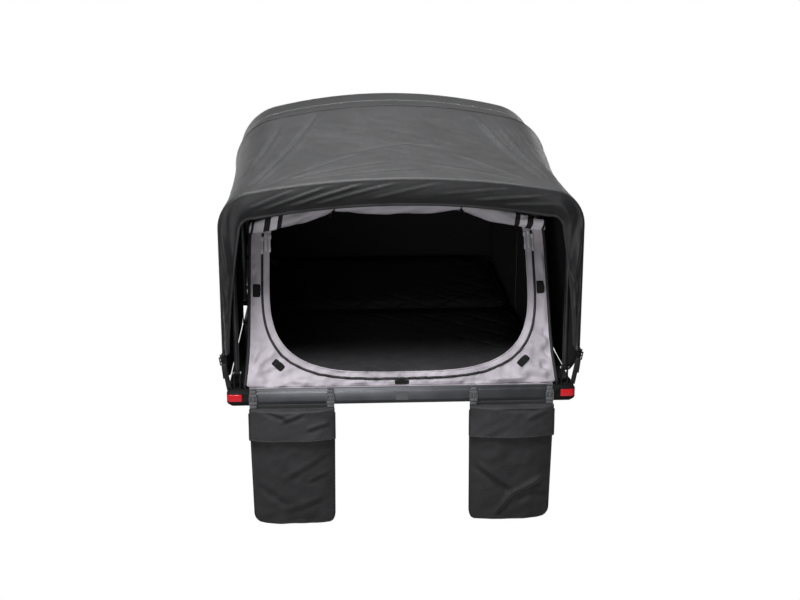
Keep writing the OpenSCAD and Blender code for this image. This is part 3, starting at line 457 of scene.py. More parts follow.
mattress_cover = cloth_finish("mattress_cover", (0.030, 0.030, 0.033), (0.046, 0.046, 0.050), 0.85,
                              threads=300.0)
PAD_POINTS, PAD_VOXEL, PAD_SWELL, PAD_FRAMES, QUILT = 112, 0.011, 0.006, 16, 0.21
PAD_RINGS = ((0.016, 0.0), (0.004, 0.010), (0.007, 0.026), (0.003, 0.042),
             (0.012, 0.0515), (0.09, 0.058), (0.22, 0.062), (0.42, 0.064))


def mattress(name, node, body):
    low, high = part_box(node)
    half, middle = (high - low) / 2, (high + low) / 2

    def outline(count, inset, z):
        ring = []
        for i in range(count):
            turn = 2 * math.pi * i / count
            c, s = signed_power(math.cos(turn), 2 / 9), signed_power(math.sin(turn), 2 / 9)
            ring.append((middle.x + c * (half.x - inset - 0.008 * (1 - s * s)),
                         middle.y + s * (half.y - inset - 0.008 * (1 - c * c)), z))
        return ring

    rings = [outline(PAD_POINTS, inset, low.z + 0.0005 + rise) for inset, rise in PAD_RINGS]
    faces = grid_faces(len(rings), PAD_POINTS)
    last = (len(rings) - 1) * PAD_POINTS
    faces += [tuple(reversed(range(PAD_POINTS))), tuple(range(last, last + PAD_POINTS))]
    mesh = bpy.data.meshes.new(name)
    mesh.from_pydata([p for ring in rings for p in ring], [], faces)
    pad = linked(name, mesh)
    fine = pad.modifiers.new("even", "REMESH")
    fine.mode = "VOXEL"
    fine.voxel_size = PAD_VOXEL
    settle(pad)
    start = [v.co.copy() for v in pad.data.vertices]
    swell = pad.modifiers.new("swell", "CLOTH")
    swell.settings.use_pressure = True
    swell.settings.uniform_pressure_force = 4.0
    swell.settings.quality = 4
    swell.settings.effector_weights.gravity = 0
    swell.point_cache.frame_start, swell.point_cache.frame_end = 1, PAD_FRAMES
    for step in range(1, PAD_FRAMES + 1):
        scene.frame_set(step)
    settle(pad)
    scene.frame_set(1)
    for v, was in zip(pad.data.vertices, start):
        move = v.co - was
        if move.length > PAD_SWELL:
            move *= PAD_SWELL / move.length
        v.co = was + move
        x, y = v.co.x - middle.x, v.co.y - middle.y
        if v.co.z > low.z + 0.045:
            for along in (x + y, x - y):
                off = abs((along / QUILT) % 1 - 0.5) * QUILT
                v.co.z -= 0.0045 * math.exp(-(off / 0.012) ** 2)
        v.co.z = min(max(v.co.z, low.z), high.z + 0.001)
    even = pad.modifiers.new("round", "SUBSURF")
    even.levels = even.render_levels = 1
    settle(pad)
    pad.data.shade_smooth()
    pad.data.materials.clear()
    pad.data.materials.append(mattress_cover)
    fixed(pad, body, "mattress_grey", node)
    seam = outline(160, 0.0045, low.z + 0.0475)
    piping = tube_along(name + "_piping", seam, 0.0035, mattress_cover, closed=True)
    fixed(piping, body, "mattress_grey")


mattress("front_pad", "front_mattress", "base")
mattress("rear_pad", "rear_mattress", "rear_base")


# Base hinges and bow brackets: folded steel, powder coated black, with plain steel pins.
# The bow feet turn on headed pins between the bracket ears.
powder_black = moulding_finish("powder_black", (0.016, 0.016, 0.018), (0.035, 0.035, 0.038),
                               0.42, 500.0)
bright_pin = alloy_finish("bright_pin", (0.42, 0.43, 0.45), (0.62, 0.63, 0.65), 0.28, 1.0)
for node in ("front_hinge_leaves", "rear_hinge_leaves", "front_bow_brackets",
             "centre_front_brackets", "rear_bow_brackets", "centre_rear_brackets"):
    softened(node, powder_black, 0.001, "bracket_steel")
softened("awning_brackets", black_nylon, 0.0015, "moulded_black")
for node in ("hinge_pins", "front_pivot_pins", "rear_pivot_pins"):
    softened(node, bright_pin, 0.0008, "pin_steel")


# Bows and awning hoop: bent alloy tube on moulded feet. The hoop that carries the awning is
# black, the four bows inside are satin silver.
satin_tube = alloy_finish("satin_tube", (0.45, 0.46, 0.48), (0.60, 0.61, 0.63), 0.34, 0.95)
black_tube = alloy_finish("black_tube", (0.020, 0.020, 0.022), (0.040, 0.040, 0.043), 0.4, 0.6)
for node, tube in (("front_bow", satin_tube), ("centre_front_bow", satin_tube),
                   ("centre_rear_bow", satin_tube), ("rear_bow", satin_tube),
                   ("awning_hoop", black_tube)):
    dress(node, tube)
    softened(node + "_ends", black_nylon, 0.0012, "moulded_black")


# Inner tent walls: light grey coated cotton outside and a near-black lining inside, whose black is
# painted shade for the unlit inside of the tent. The front wall leans back to the front bow; its
# door is open, with a storm flap strip left inside the zip.
tent_canvas = cloth_finish("tent_canvas", (0.375, 0.345, 0.385), (0.57, 0.53, 0.585), 0.78,
                           threads=380.0, crease=0.004, size=11.0, sheen_weight=0.15)
# Painted shade: the lining is near black so that the inside of the tent looks unlit.
painted_shade_lining = cloth_finish("painted_shade_lining", (0.003, 0.003, 0.0035), (0.006, 0.006, 0.0065), 0.9,
                           threads=300.0)
hem_black = cloth_finish("hem_black", (0.012, 0.012, 0.013), (0.022, 0.022, 0.024), 0.7,
                         threads=500.0, crease=0.001)
HINGE_Y, TENT_HALF = 0.575, 0.628
WALL_Y, WALL_Z = -0.550, 0.1063
WALL_TILT = math.radians(58.083)
WALL_MID, WALL_LEN = 0.4861, 0.8161
TENT_LAYER = (0.131, 0.002)


def clamp(v):
    return max(0.0, min(1.0, v))


def on_wall(x, up, out, rear=False):
    """A point of the leaning wall: across, up the slope and out of the cloth."""
    y = WALL_Y + up * math.cos(WALL_TILT) - out * math.sin(WALL_TILT)
    z = WALL_Z + up * math.sin(WALL_TILT) + out * math.cos(WALL_TILT)
    return Vector((x, 2 * HINGE_Y - y if rear else y, z))


def wall_rim(turn, half, rise, drop, sharp_up, sharp_down):
    """Where a line from the middle of the wall at an angle meets an outline on it."""
    c, s = math.cos(turn), math.sin(turn)
    sharp, tall = (sharp_up, rise) if s >= 0 else (sharp_down, drop)
    reach = ((abs(c) / half) ** sharp + (abs(s) / tall) ** sharp) ** (-1 / sharp)
    return reach * c, WALL_MID + reach * s


def flare(up):
    """How far the foot of the tent is drawn out towards the corner caps."""
    return 0.016 * max(0.0, 1 - max(up, 0.0) / 0.24) ** 2


def wall_edge(turn, hem=0.0):
    x, up = wall_rim(turn, TENT_HALF, 0.330, WALL_MID + hem, 6, 60 + hem * 20000)
    return x * (1 + flare(up) / TENT_HALF), up


def door_edge(turn, grow=0.0):
    return wall_rim(turn, 0.546 + grow, 0.290 + grow, 0.4321 + grow, 6, 3.4)


def cloth_grid(name, rows, finishes, closed=False, thick=0.0, offset=-1):
    """A sheet through rows of points, with a cut pattern in metres for its weave."""
    m, count = len(rows), len(rows[0])
    verts = [Vector(p) for row in rows for p in row]
    mesh = bpy.data.meshes.new(name)
    mesh.from_pydata(verts, [], grid_faces(m, count, closed))
    along, across = [0.0], [0.0]
    mid_row, mid_col = (m // 2) * count, count // 2
    for i in range(count):
        step = (verts[mid_row + (i + 1) % count] - verts[mid_row + i]).length
        across.append(across[-1] + step)
    for k in range(m - 1):
        step = (verts[(k + 1) * count + mid_col] - verts[k * count + mid_col]).length
        along.append(along[-1] + step)
    pattern = mesh.uv_layers.new(name="cloth")
    for face in mesh.polygons:
        for corner in face.loop_indices:
            k, i = divmod(mesh.loops[corner].vertex_index, count)
            wrap = closed and i == 0 and face.vertices[1] % count == 0
            pattern.data[corner].uv = (across[count] if wrap else across[i], along[k])
    mesh.shade_smooth()
    for finish in finishes:
        mesh.materials.append(finish)
    cloth = linked(name, mesh)
    if thick:
        depth = cloth.modifiers.new("thickness", "SOLIDIFY")
        depth.thickness = thick
        depth.offset = offset
        depth.material_offset = len(finishes) - 1
        settle(cloth)
    return cloth


def ripple(x, y, size, seed=0.0):
    return noise.noise(Vector((x / size, y / size, seed)))


def gather(piece, body, slot, *nodes, layer=TENT_LAYER):
    """Cloth that moves with a body, may stand for CAD nodes and gets a mesh of its own; the layer
    is not used.
    """
    fixed(piece, body, slot, *nodes)
    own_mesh(piece)


def wall_slack(x, up):
    """How far the wrinkled wall stands off its plane, held flat at its edges and by the roll."""
    turn, middle = math.atan2(up - WALL_MID, x), (0, WALL_MID)
    outer = math.dist(middle, wall_edge(turn))
    inner = math.dist(middle, door_edge(turn))
    share = clamp((outer - math.dist(middle, (x, up))) / (outer - inner))
    low_corner = math.exp(-((abs(x) - 0.52) / 0.15) ** 2 - ((up - 0.09) / 0.12) ** 2)
    side_strip = math.exp(-((abs(x) - 0.60) / 0.05) ** 2)
    slack = 0.004 + 0.010 * low_corner + 0.005 * math.exp(-(up / 0.10) ** 2) + 0.003 * side_strip
    below_sliders = clamp((0.30 - up) / 0.08)
    puckers = 1.5 * math.exp(-((share - 0.22) / 0.13) ** 2) * clamp((0.60 - up) / 0.08)
    slack *= min(1.0, share * 6) * min(1.0, (1 - share) * 5 + 0.35) * max(below_sliders, puckers)
    sharp = 0.30 - abs(ripple(abs(x) * 1.5 + up * 0.75, up * 1.2 - abs(x) * 0.5, 0.10,
                              2.0 if x < 0 else 12.0))
    sewn = 0.0055 * min(1.0, share * 6) * puckers * ripple(x * 0.8 + up * 0.3, up, 0.030, 21.0)
    broad = 0.7 * ripple(x + up, up - x, 0.13, 5.0) + 0.5 * ripple(x * 2.0, up * 1.3, 0.05, 9.0)
    return slack * (2.0 * sharp + broad) + sewn


def on_cloth(x, up, out):
    return on_wall(x, up, out + wall_slack(x, up))


TURNS, FINE_TURNS = 480, 2880
fine = [2 * math.pi * i / FINE_TURNS for i in range(FINE_TURNS + 1)]
length = [0.0]
for a, b in zip(fine, fine[1:]):
    length.append(length[-1] + math.dist(door_edge(a, 0.04), door_edge(b, 0.04)))
turns, at = [], 0
for i in range(TURNS):
    while length[at] < length[-1] * i / TURNS:
        at += 1
    turns.append(fine[at])
rows = []
for k in range(21):
    share = k / 20
    row = []
    for turn in turns:
        ox, oy = wall_edge(turn)
        dx, dy = door_edge(turn)
        row.append(on_cloth(ox + (dx - ox) * share, oy + (dy - oy) * share, 0.002))
    rows.append(row)
# The inner faces take the lining's painted shade.
canvas_sides = [tent_canvas, painted_shade_lining]
front_wall = cloth_grid("front_wall_cloth", rows, canvas_sides, closed=True, thick=0.002)
gather(front_wall, "base", "tent_cloth", "front_wall")

rows = []
for k in range(25):
    share = 1 - k / 24 * 0.999
    row = []
    for turn in reversed(turns):
        ox, oy = wall_edge(turn, 0.0035)
        x, up = ox * share, WALL_MID + (oy - WALL_MID) * share
        slack = 0.006 * min(1, k / 5)
        row.append(on_wall(x, up, 0.001 + slack * ripple(x + 3, up, 0.22, 9.0), rear=True))
    rows.append(row)
rear_wall = cloth_grid("rear_wall_cloth", rows, canvas_sides, closed=True, thick=0.002)
gather(rear_wall, "rear_base", "tent_cloth", "rear_wall")


# Inner tent sides and roof: one sheet over each half, hung under the bows and hemmed to the rails.
# The roof sags a little between the front bow and the one beside the hinge.
RAIL_Z, BOW_Y, BOW_Z = 0.1033, 0.425, 0.193
LEAN = math.radians(85)


def dome(foot, top, sharp, count=101):
    """Straight sides under a rounded roof, in points spaced evenly along it."""
    line = [(-TENT_HALF, foot)]
    for i in range(721):
        t = math.pi * (1 - i / 720)
        line.append((TENT_HALF * signed_power(math.cos(t), 2 / sharp),
                     top - 0.33 + 0.33 * signed_power(max(0.0, math.sin(t)), 2 / sharp)))
    line.append((TENT_HALF, foot))
    run = [0.0]
    for a, b in zip(line, line[1:]):
        run.append(run[-1] + math.dist(a, b))
    even, at = [], 0
    for i in range(count):
        want = run[-1] * i / (count - 1)
        while at < len(run) - 2 and run[at + 1] < want:
            at += 1
        share = (want - run[at]) / (run[at + 1] - run[at])
        a, b = line[at], line[at + 1]
        even.append((a[0] + (b[0] - a[0]) * share, a[1] + (b[1] - a[1]) * share))
    return even


def on_bow(x, up, rear=False):
    """A point in the plane of a bow beside the hinge: across, and up from its pivots."""
    y = BOW_Y - up * math.cos(LEAN)
    return Vector((x, 2 * HINGE_Y - y if rear else y, BOW_Z + up * math.sin(LEAN)))


def inner_sheet(half, body, rear):
    first = [on_wall(x * (1 + flare(up) / TENT_HALF), up, -0.0004, rear)
             for x, up in dome(-0.0035, WALL_LEN, 6)]
    middle = [on_bow(x, up, rear) for x, up in dome((RAIL_Z - BOW_Z) / math.sin(LEAN), 0.922, 2.5)]
    last = [Vector((x, 0.576 if rear else 0.574, up)) for x, up in dome(RAIL_Z, 1.107, 2.5)]
    rows = []
    for k in range(29):
        share = k / 28
        sag = math.sin(math.pi * share)
        row = []
        for i, (a, b) in enumerate(zip(first, middle)):
            p = a.lerp(b, share)
            hold = min(1.0, min(i, len(first) - 1 - i) / 6)
            p.z -= 0.014 * sag * max(0.0, p.z - 0.45) / 0.6
            p.x -= math.copysign(0.010 * sag * hold * min(1.0, abs(p.x) / 0.6), p.x)
            p.z += 0.004 * sag * hold * ripple(p.x, p.y * 1.5, 0.14, 3.0)
            row.append(p)
        rows.append(row)
    for k in range(1, 7):
        rows.append([a.lerp(b, k / 6) for a, b in zip(middle, last)])
    if rear:
        rows.reverse()
    cloth = cloth_grid("inner_" + half + "_cloth", rows, canvas_sides, thick=0.002)
    gather(cloth, body, "tent_cloth", "inner_" + half)


inner_sheet("front", "base", False)
inner_sheet("rear", "rear_base", True)
dress("sill_strip", tent_canvas)


# Wall piping and door zip: black bound edges up both sides of the front wall, a black coil zip
# round the foot of the door, and a pale binding on the edge of the storm flap strip.
def bound_edge(name, points, radius, finish, slot, *nodes, body="base", layer=TENT_LAYER, **shape):
    gather(tube_along(name, points, radius, finish, **shape), body, slot, *nodes, layer=layer)


WALL_OUT = on_wall(0, 0, 1) - on_wall(0, 0, 0)
upper = [(-TENT_HALF - flare(0.02 * i), 0.02 * i) for i in range(21)]
upper += [wall_edge(math.pi - math.pi * i / 180) for i in range(181)]
upper += [(TENT_HALF + flare(0.02 * i), 0.02 * i) for i in range(20, -1, -1)]
bound_edge("wall_piping", [on_wall(x, up, 0.003) for x, up in upper], 0.0068, hem_black,
           "webbing_black")
zip_run = [door_edge(math.radians(17.5 - 215 * i / 220), 0.028) for i in range(221)]
bound_edge("zip_tape", [on_cloth(x, up, 0.0042) for x, up in zip_run], 0.0055, hem_black,
           "zip_black", "door_zip", flat=0.28, up=WALL_OUT)
coil, n, l, shader = new_finish("coil_zip", 0.35)
speck = place_group(n, moulded_grain, grain=420.0, rub=30.0)
two_tone(n, l, shader, speck.outputs["Shade"], (0.010, 0.010, 0.011), (0.028, 0.028, 0.03))
relief(n, l, shader, (speck.outputs["Height"], 0.001, 0.6))
bound_edge("zip_coil", [on_cloth(x, up, 0.0062) for x, up in zip_run], 0.0024, coil, "zip_black",
           up=WALL_OUT)
flap_edge = [door_edge(turn) for turn in turns]
bound_edge("door_binding", [on_cloth(x, up, 0.002) for x, up in flap_edge], 0.003, tent_canvas,
           "tent_cloth", closed=True)


# Hook-and-loop tabs: black woven patches stitched beside the zip, that hold its storm flap.
# Each is a little crowned, with its corners drawn in.
hook_tape = cloth_finish("hook_tape", (0.003, 0.003, 0.0035), (0.007, 0.007, 0.008), 0.95,
                         threads=700.0, crease=0.0015, size=60.0)
for label, centre, half_w, half_h, turn, nodes in (
        ("left", (-0.597, 0.412), 0.016, 0.028, 0.0, []),
        ("right", (0.597, 0.412), 0.016, 0.028, 0.0, []),
        ("low_left", (-0.507, 0.092), 0.015, 0.027, math.radians(46), []),
        ("low_right", (0.507, 0.092), 0.015, 0.027, math.radians(-46), []),
        ("sill", (0.0, 0.0105), 0.029, 0.0085, 0.0, ["door_tabs"])):
    c, s = math.cos(turn), math.sin(turn)
    rows = []
    for k in range(9):
        row = []
        for i in range(9):
            a, b = (i / 4 - 1), (k / 4 - 1)
            lift = 0.0025 * (1 - 0.5 * a * a - 0.3 * b * b)
            round_a = a * half_w * (1 - 0.08 * b ** 6)
            round_b = b * half_h * (1 - 0.08 * a ** 6)
            row.append(on_cloth(centre[0] + round_a * c - round_b * s,
                                centre[1] + round_a * s + round_b * c, 0.0045 + lift))
        rows.append(row)
    tab = cloth_grid(label + "_tab", rows, [hook_tape], thick=0.0025)
    gather(tab, "base", "webbing_black", *nodes)


# Rolled door: the door panel rolled up along the head of the opening, drooping between two ties.
# The rolled-in zip tapes show as black and pale bands at its ends.
ROLL_R, TIE_X, TIE_R, HALF_CUT = 0.028, 0.270, 0.0255, 0.66
ROLL_STEPS, ROLL_SIDES = 180, 28
rolled_canvas, n, l, shader = new_finish("rolled_canvas", 0.78)
across, along = cut_pattern(n, l)
skewed = math_node(n, l, "MULTIPLY_ADD", across, 0.16, along)
from_end = math_node(n, l, "PINGPONG", skewed, HALF_CUT)
bands = n.new("ShaderNodeValToRGB")
bands.color_ramp.interpolation = "CONSTANT"
stops = [(0.0, 0), (0.017, 1), (0.029, 0), (0.044, 1),
         (0.113, 0), (0.152, 1), (0.197, 0), (0.229, 0.62)]
while len(bands.color_ramp.elements) < len(stops):
    bands.color_ramp.elements.new(0.5)
for stop, (at, pale) in zip(bands.color_ramp.elements, stops):
    stop.position = at
    stop.color = (pale, pale, pale, 1)
l.new(math_node(n, l, "DIVIDE", from_end, HALF_CUT), bands.inputs[0])
cloudy = place_group(n, soft_cloud, size=18.0, fine=70.0)
cream = mixed(n, l, cloudy.outputs["Shade"], (0.66, 0.63, 0.69), (0.92, 0.89, 0.94))
banded = mixed(n, l, bands.outputs[0], (0.012, 0.012, 0.013), cream)
l.new(banded, shader.inputs["Base Color"])
weave = place_group(n, woven_threads, threads=380.0)
relief(n, l, shader, (cloudy.outputs["Height"], 0.005, 0.5), (weave.outputs["Height"], 0.0006, 0.3))


def roll_line(share):
    x = TENT_HALF * (2 * share - 1)
    far = max(0.0, abs(x) - TIE_X) / (TENT_HALF - TIE_X)
    droop = 0.0 if far > 0 else 0.008 * math.sin(math.pi * (x / TIE_X + 1) / 2) ** 2
    return x, WALL_LEN - 0.040 - 0.092 * far * (1.5 - 0.5 * far) - droop, 0.0033 + ROLL_R


rows = []
for k in range(ROLL_STEPS + 1):
    share = k / ROLL_STEPS
    x, up, out = roll_line(share)
    pinch = math.cos(math.pi * (x / TIE_X + 1) / 2) ** 10
    end = abs(2 * share - 1)
    row = []
    for i in range(ROLL_SIDES):
        turn = 2 * math.pi * i / ROLL_SIDES
        wind = 0.0045 * math.sin(3 * turn + 26 * x) * (1 - pinch)
        fold = 0.005 * ripple(x * 1.4 + turn * 0.05, turn * 0.09, 0.055, 4.0)
        r = ROLL_R * (1 - 0.17 * pinch) * (1 - 0.2 * end ** 12) + (wind + fold) * 0.8
        row.append(on_wall(x, up + r * math.cos(turn), out + r * math.sin(turn)))
    rows.append(row)
door_roll = cloth_grid("rolled_door", rows, [rolled_canvas], closed=True)
work = bmesh.new()
work.from_mesh(door_roll.data)
work.verts.ensure_lookup_table()
for ring in (0, ROLL_STEPS):
    work.faces.new(work.verts[ring * ROLL_SIDES:(ring + 1) * ROLL_SIDES])
bmesh.ops.recalc_face_normals(work, faces=work.faces)
work.to_mesh(door_roll.data)
work.free()
door_roll.data.shade_smooth()
gather(door_roll, "base", "tent_cloth", "door_roll")

for label, side, nodes in (("left", -1, ["roll_ties"]), ("right", 1, [])):
    x, up, out = roll_line(0.5 + side * TIE_X / (2 * TENT_HALF))
    loop = []
    for i in range(40):
        turn = 2 * math.pi * i / 40
        loop.append(on_wall(x + 0.004 * math.sin(turn), up + TIE_R * math.cos(turn),
                            out + TIE_R * math.sin(turn)))
    bound_edge(label + "_roll_tie", loop, 0.008, hem_black, "webbing_black", *nodes,
               closed=True, flat=0.25, up=(1, 0, 0))
    tail = [on_wall(x + side * 0.002 * i, up - 0.026 - 0.0042 * i, out + 0.012 + 0.001 * i)
            for i in range(9)]
    bound_edge(label + "_tie_toggle", tail, 0.0055, black_nylon, "webbing_black", sides=12)


# Zip sliders: die-cast sliders with a bail and a stamped pull that hangs from each.
# Three ride together on each side of the door.
cast_zinc = alloy_finish("cast_zinc", (0.62, 0.62, 0.64), (0.86, 0.86, 0.88), 0.36, 0.35)
SLIDER_X, SLIDER_UP = 0.574, 0.640
SLIDER_BLOCKS = ((0.0, 0.0085, (0.006, 0.009, 0.0022), 0.0012),
                 (0.002, 0.0125, (0.0022, 0.006, 0.0016), 0.0008),
                 (-0.030, 0.0105, (0.0030, 0.021, 0.0013), 0.0006),
                 (-0.058, 0.0105, (0.0044, 0.010, 0.0016), 0.0009))


def rounded_block(work, centre, half, bevel, frame_of):
    """A small block with its edges rounded, in the axes of what it is fixed to."""
    made = bmesh.ops.create_cube(work, size=2.0)["verts"]
    for v in made:
        v.co = Vector([c + u * h for c, u, h in zip(centre, v.co, half)])
    edges = list({e for v in made for e in v.link_edges})
    done = bmesh.ops.bevel(work, geom=edges, offset=bevel, segments=2, affect="EDGES", profile=0.6)
    for v in {v for f in done["faces"] for v in f.verts} | {v for v in made if v.is_valid}:
        v.co = frame_of(v.co)


for name, side in (("left_zip", -1), ("right_zip", 1)):
    work = bmesh.new()
    for dx, dy in ((0.0, 0.0), (-side * 0.016, 0.014), (-side * 0.032, 0.008)):
        x, up = side * SLIDER_X + dx, SLIDER_UP + dy
        for rise, out, half, bevel in SLIDER_BLOCKS:
            rounded_block(work, (x, up + rise, out), half, bevel, lambda p: on_wall(*p))
    sliders = piece_of(work, name)
    smooth_by_angle(sliders, cast_zinc)
    gather(sliders, name, "zip_metal", name + "_slider")


# Fly sheet, front: one coated polyester sheet from the awning edge back to the ridge over the
# hinge, with a deep valance turned down in front and a tapering band down each side.
fly_satin = cloth_finish("fly_satin", (0.0075, 0.0078, 0.0090), (0.0125, 0.0128, 0.0145), 0.48,
                         threads=520.0, crease=0.004, size=9.0,
                         sheen_weight=0.25, sheen_roughness=0.4)
# The fly's underside takes the lining's painted shade, as dark as the unlit space under it.
fly_sides = [fly_satin, painted_shade_lining]
LEG, BEND, CROWN = 26, 16, 84
COLUMNS = 2 * (LEG + BEND) + CROWN + 1
AWNING_Y, FLY_HALF, FLY_THICK, ROUND = -0.581, 0.7165, 0.0015, 0.013
FLY_LAYER = (0.205, 0.003)


def arch(half, foot, top, bend, arc):
    """Straight legs, two shoulder bends and a curved crown, as (x, z, inward x, inward z)."""
    arc = math.radians(max(arc, 0.02))
    big = (half - bend) / math.sin(arc) + bend
    shoulder = top - bend * math.cos(arc) - big * (1 - math.cos(arc))
    line = [(-half, foot + (shoulder - foot) * i / LEG, 1.0, 0.0) for i in range(LEG)]
    for i in range(BEND):
        t = math.pi - (math.pi / 2 - arc) * i / BEND
        c, s = math.cos(t), math.sin(t)
        line.append((bend - half + bend * c, shoulder + bend * s, -c, -s))
    for i in range(CROWN + 1):
        t = math.pi / 2 + arc - 2 * arc * i / CROWN
        c, s = math.cos(t), math.sin(t)
        line.append((big * c, top - big + big * s, -c, -s))
    return line + [(-x, z, -a, b) for x, z, a, b in reversed(line[:LEG + BEND])]


def creases(x, k, folds, reach=0.9, narrow=1.0):
    """Pulled folds (from, to, width, depth) at x in metres and a share k of a reach in metres."""
    total = 0.0
    for (ax, ak), (bx, bk), width, depth in folds:
        width *= narrow
        px, py = x - ax, k * reach - ak * reach
        dx, dy = bx - ax, bk * reach - ak * reach
        length = math.hypot(dx, dy)
        along = (px * dx + py * dy) / length / length
        off = (px * dy - py * dx) / length
        ridge = math.exp(-(off / width) ** 2) - 0.6 * math.exp(-((off - 1.7 * width) / width) ** 2)
        total += depth * clamp(along * 5) * clamp((1 - along) * 5) * ridge
    return total


edge_line = arch(0.728, 0.263, 0.977, 0.150, 10)
bow_line = arch(FLY_HALF, 0.030, 0.9565, 0.2215, 13)
over_bow = [on_bow(x, z) for x, z, a, b in bow_line]
over_hinge = [Vector((x, 0.5745, z)) for x, z, a, b in arch(FLY_HALF, 0.503, 1.1435, 0.2215, 13)]
roof_folds = [
    ((-0.62, 0.05), (-0.37, 0.97), 0.010, 0.021), ((-0.66, 0.30), (-0.55, 0.90), 0.010, 0.014),
    ((-0.55, 0.04), (-0.10, 0.42), 0.011, 0.005), ((-0.58, 0.03), (-0.02, 0.24), 0.010, 0.005),
    ((-0.45, 0.03), (0.12, 0.13), 0.009, 0.004), ((0.62, 0.05), (0.40, 0.97), 0.010, -0.021),
    ((0.66, 0.10), (0.50, 0.97), 0.010, -0.016), ((0.69, 0.18), (0.59, 0.95), 0.009, -0.010),
    ((0.56, 0.04), (0.22, 0.40), 0.010, -0.005), ((0.55, 0.03), (0.12, 0.20), 0.010, -0.004),
    ((-0.12, 0.42), (0.10, 0.50), 0.009, 0.003), ((-0.30, 0.34), (-0.05, 0.46), 0.010, 0.003),
    ((0.02, 0.50), (0.20, 0.46), 0.009, -0.003)]
valance_folds = [
    ((-0.62, 0.55), (-0.42, 0.05), 0.008, 0.006), ((-0.56, 0.70), (-0.28, 0.04), 0.008, 0.008),
    ((-0.46, 0.75), (-0.14, 0.04), 0.009, 0.008), ((-0.36, 0.80), (0.00, 0.04), 0.009, 0.006),
    ((-0.14, 0.75), (0.16, 0.06), 0.010, 0.004), ((0.14, 0.55), (0.46, 0.06), 0.009, 0.004),
    ((0.28, 0.75), (0.58, 0.20), 0.011, 0.005), ((0.40, 0.85), (0.63, 0.45), 0.010, 0.004)]
left_leg_folds = [
    ((0.63, 0.92), (0.43, 0.35), 0.0075, 0.008), ((0.53, 0.60), (0.33, 0.25), 0.0075, -0.007),
    ((0.47, 0.85), (0.40, 0.20), 0.010, 0.006)]
right_leg_folds = [
    ((0.64, 0.95), (0.46, 0.30), 0.0075, -0.008), ((0.50, 0.70), (0.30, 0.40), 0.0075, 0.007),
    ((0.56, 0.35), (0.40, 0.15), 0.009, 0.006)]

rows = []
VALANCE_ROWS, ROUND_ROWS, ROOF_ROWS, RIDGE_ROWS = 16, 8, 76, 8
for k in range(VALANCE_ROWS + ROUND_ROWS + 1):
    row = []
    for i, (x, z, ax, az) in enumerate(edge_line):
        from_foot = min(i, COLUMNS - 1 - i)
        up_leg = min(1.0, from_foot / LEG)
        crown = clamp((from_foot - LEG) / BEND)
        leg = 1 - crown
        width = 0.026 + 0.058 * up_leg ** 1.5 + 0.024 * crown
        if k <= VALANCE_ROWS:
            t = 1 - k / VALANCE_ROWS
            inset = ROUND + (width - ROUND) * t
            out = ROUND + 0.007 * math.sin(math.pi * min(1.0, t * 1.1)) - 0.010 * t ** 3
            out += creases(x, t, valance_folds, 0.11, 0.55) * crown
            fold = math.sin(z * 19 + 4.2 * t + 1.6 * ripple(x, z, 0.2, 17.0)
                            + (1.5 if x > 0 else 0))
            out += leg * 0.013 * signed_power(fold, 1.6) * math.sin(math.pi * min(1, t + 0.15))
            out += (leg * 0.006 * math.sin(z * 47 + 6 * t + x)
                    * math.sin(math.pi * min(1, t + 0.1)) * (1 - up_leg * 0.5))
            free = min(1.0, 4 * t)
            out += 0.0035 * ripple(x * 0.8 + z * 0.4, z + t * 0.06, 0.06, 7.0) * free
            leg_folds = left_leg_folds if x < 0 else right_leg_folds
            out += creases(z, t, leg_folds, 0.081) * leg * free
        else:
            swing = math.pi / 2 * (1 - (k - VALANCE_ROWS) / ROUND_ROWS)
            inset = ROUND * (1 - math.cos(swing))
            out = ROUND * math.sin(swing)
        row.append(Vector((x + ax * inset, AWNING_Y - out, z + az * inset)))
    rows.append(row)
for k in range(1, ROOF_ROWS + 1):
    share = k / ROOF_ROWS
    s = math.sin(math.pi * share)
    hem_drop = 0.176 - 0.040 * share - 0.176 * (1 - min(1.0, share / 0.3)) ** 2
    row = []
    for i, (x, z, ax, az) in enumerate(edge_line):
        p = Vector((x, AWNING_Y, z)).lerp(over_bow[i], share)
        from_foot = min(i, COLUMNS - 1 - i)
        top = clamp((from_foot - 30) / 12)
        inward = Vector((bow_line[i][2] * share + ax * (1 - share), 0,
                         bow_line[i][3] * share + az * (1 - share)))
        shoulder_pull = math.exp(-((from_foot - 34) / 12) ** 2)
        dip = 0.017 * s * top + 0.006 * s * (1 - top) + 0.016 * s * shoulder_pull
        dip += creases(x, share, roof_folds) * max(top, 0.35)
        dip += s * (0.006 * ripple(x * 0.9, share * 0.9, 0.32, 1.0)
                    + 0.0022 * ripple(x + share, share, 0.09, 6.0))
        leg = 1 - min(1.0, from_foot / 30)
        dip += s * leg * 0.010 * math.sin(9 * share + 5 * leg + (0 if x < 0 else 1))
        p += inward * dip
        low = max(0.0, 1 - from_foot / LEG)
        p.z -= hem_drop * low
        if low > 0.4:
            clear = min(1.0, (low - 0.4) * 4)
            p.x += math.copysign(clear * max(0.0, 0.7215 - abs(p.x)), x)
        row.append(p)
    rows.append(row)
bow_row = rows[-1]
for k in range(1, RIDGE_ROWS + 1):
    share = k / RIDGE_ROWS
    row = []
    for i in range(COLUMNS):
        p = bow_row[i].lerp(over_hinge[i], share)
        low = max(0.0, 1 - min(i, COLUMNS - 1 - i) / LEG)
        sag = 0.003 * (1 + ripple(p.x, share, 0.2, 8.0)) + 0.10 * low
        p.z -= math.sin(math.pi * share) * sag
        row.append(p)
    rows.append(row)
fly_front = cloth_grid("fly_front_cloth", rows, fly_sides, thick=FLY_THICK)
gather(fly_front, "base", "fly_cloth", "fly_front", "fly_valance", layer=FLY_LAYER)


def fly_edge(name, points, radius, finish=hem_black, body="base", **shape):
    bound_edge(name, points, radius, finish, "fly_cloth", body=body, layer=FLY_LAYER, **shape)


def bow_seam(row, line):
    return [p + Vector((-a, 0, -b)) * 0.0012 for p, (x, z, a, b) in zip(row, line)]


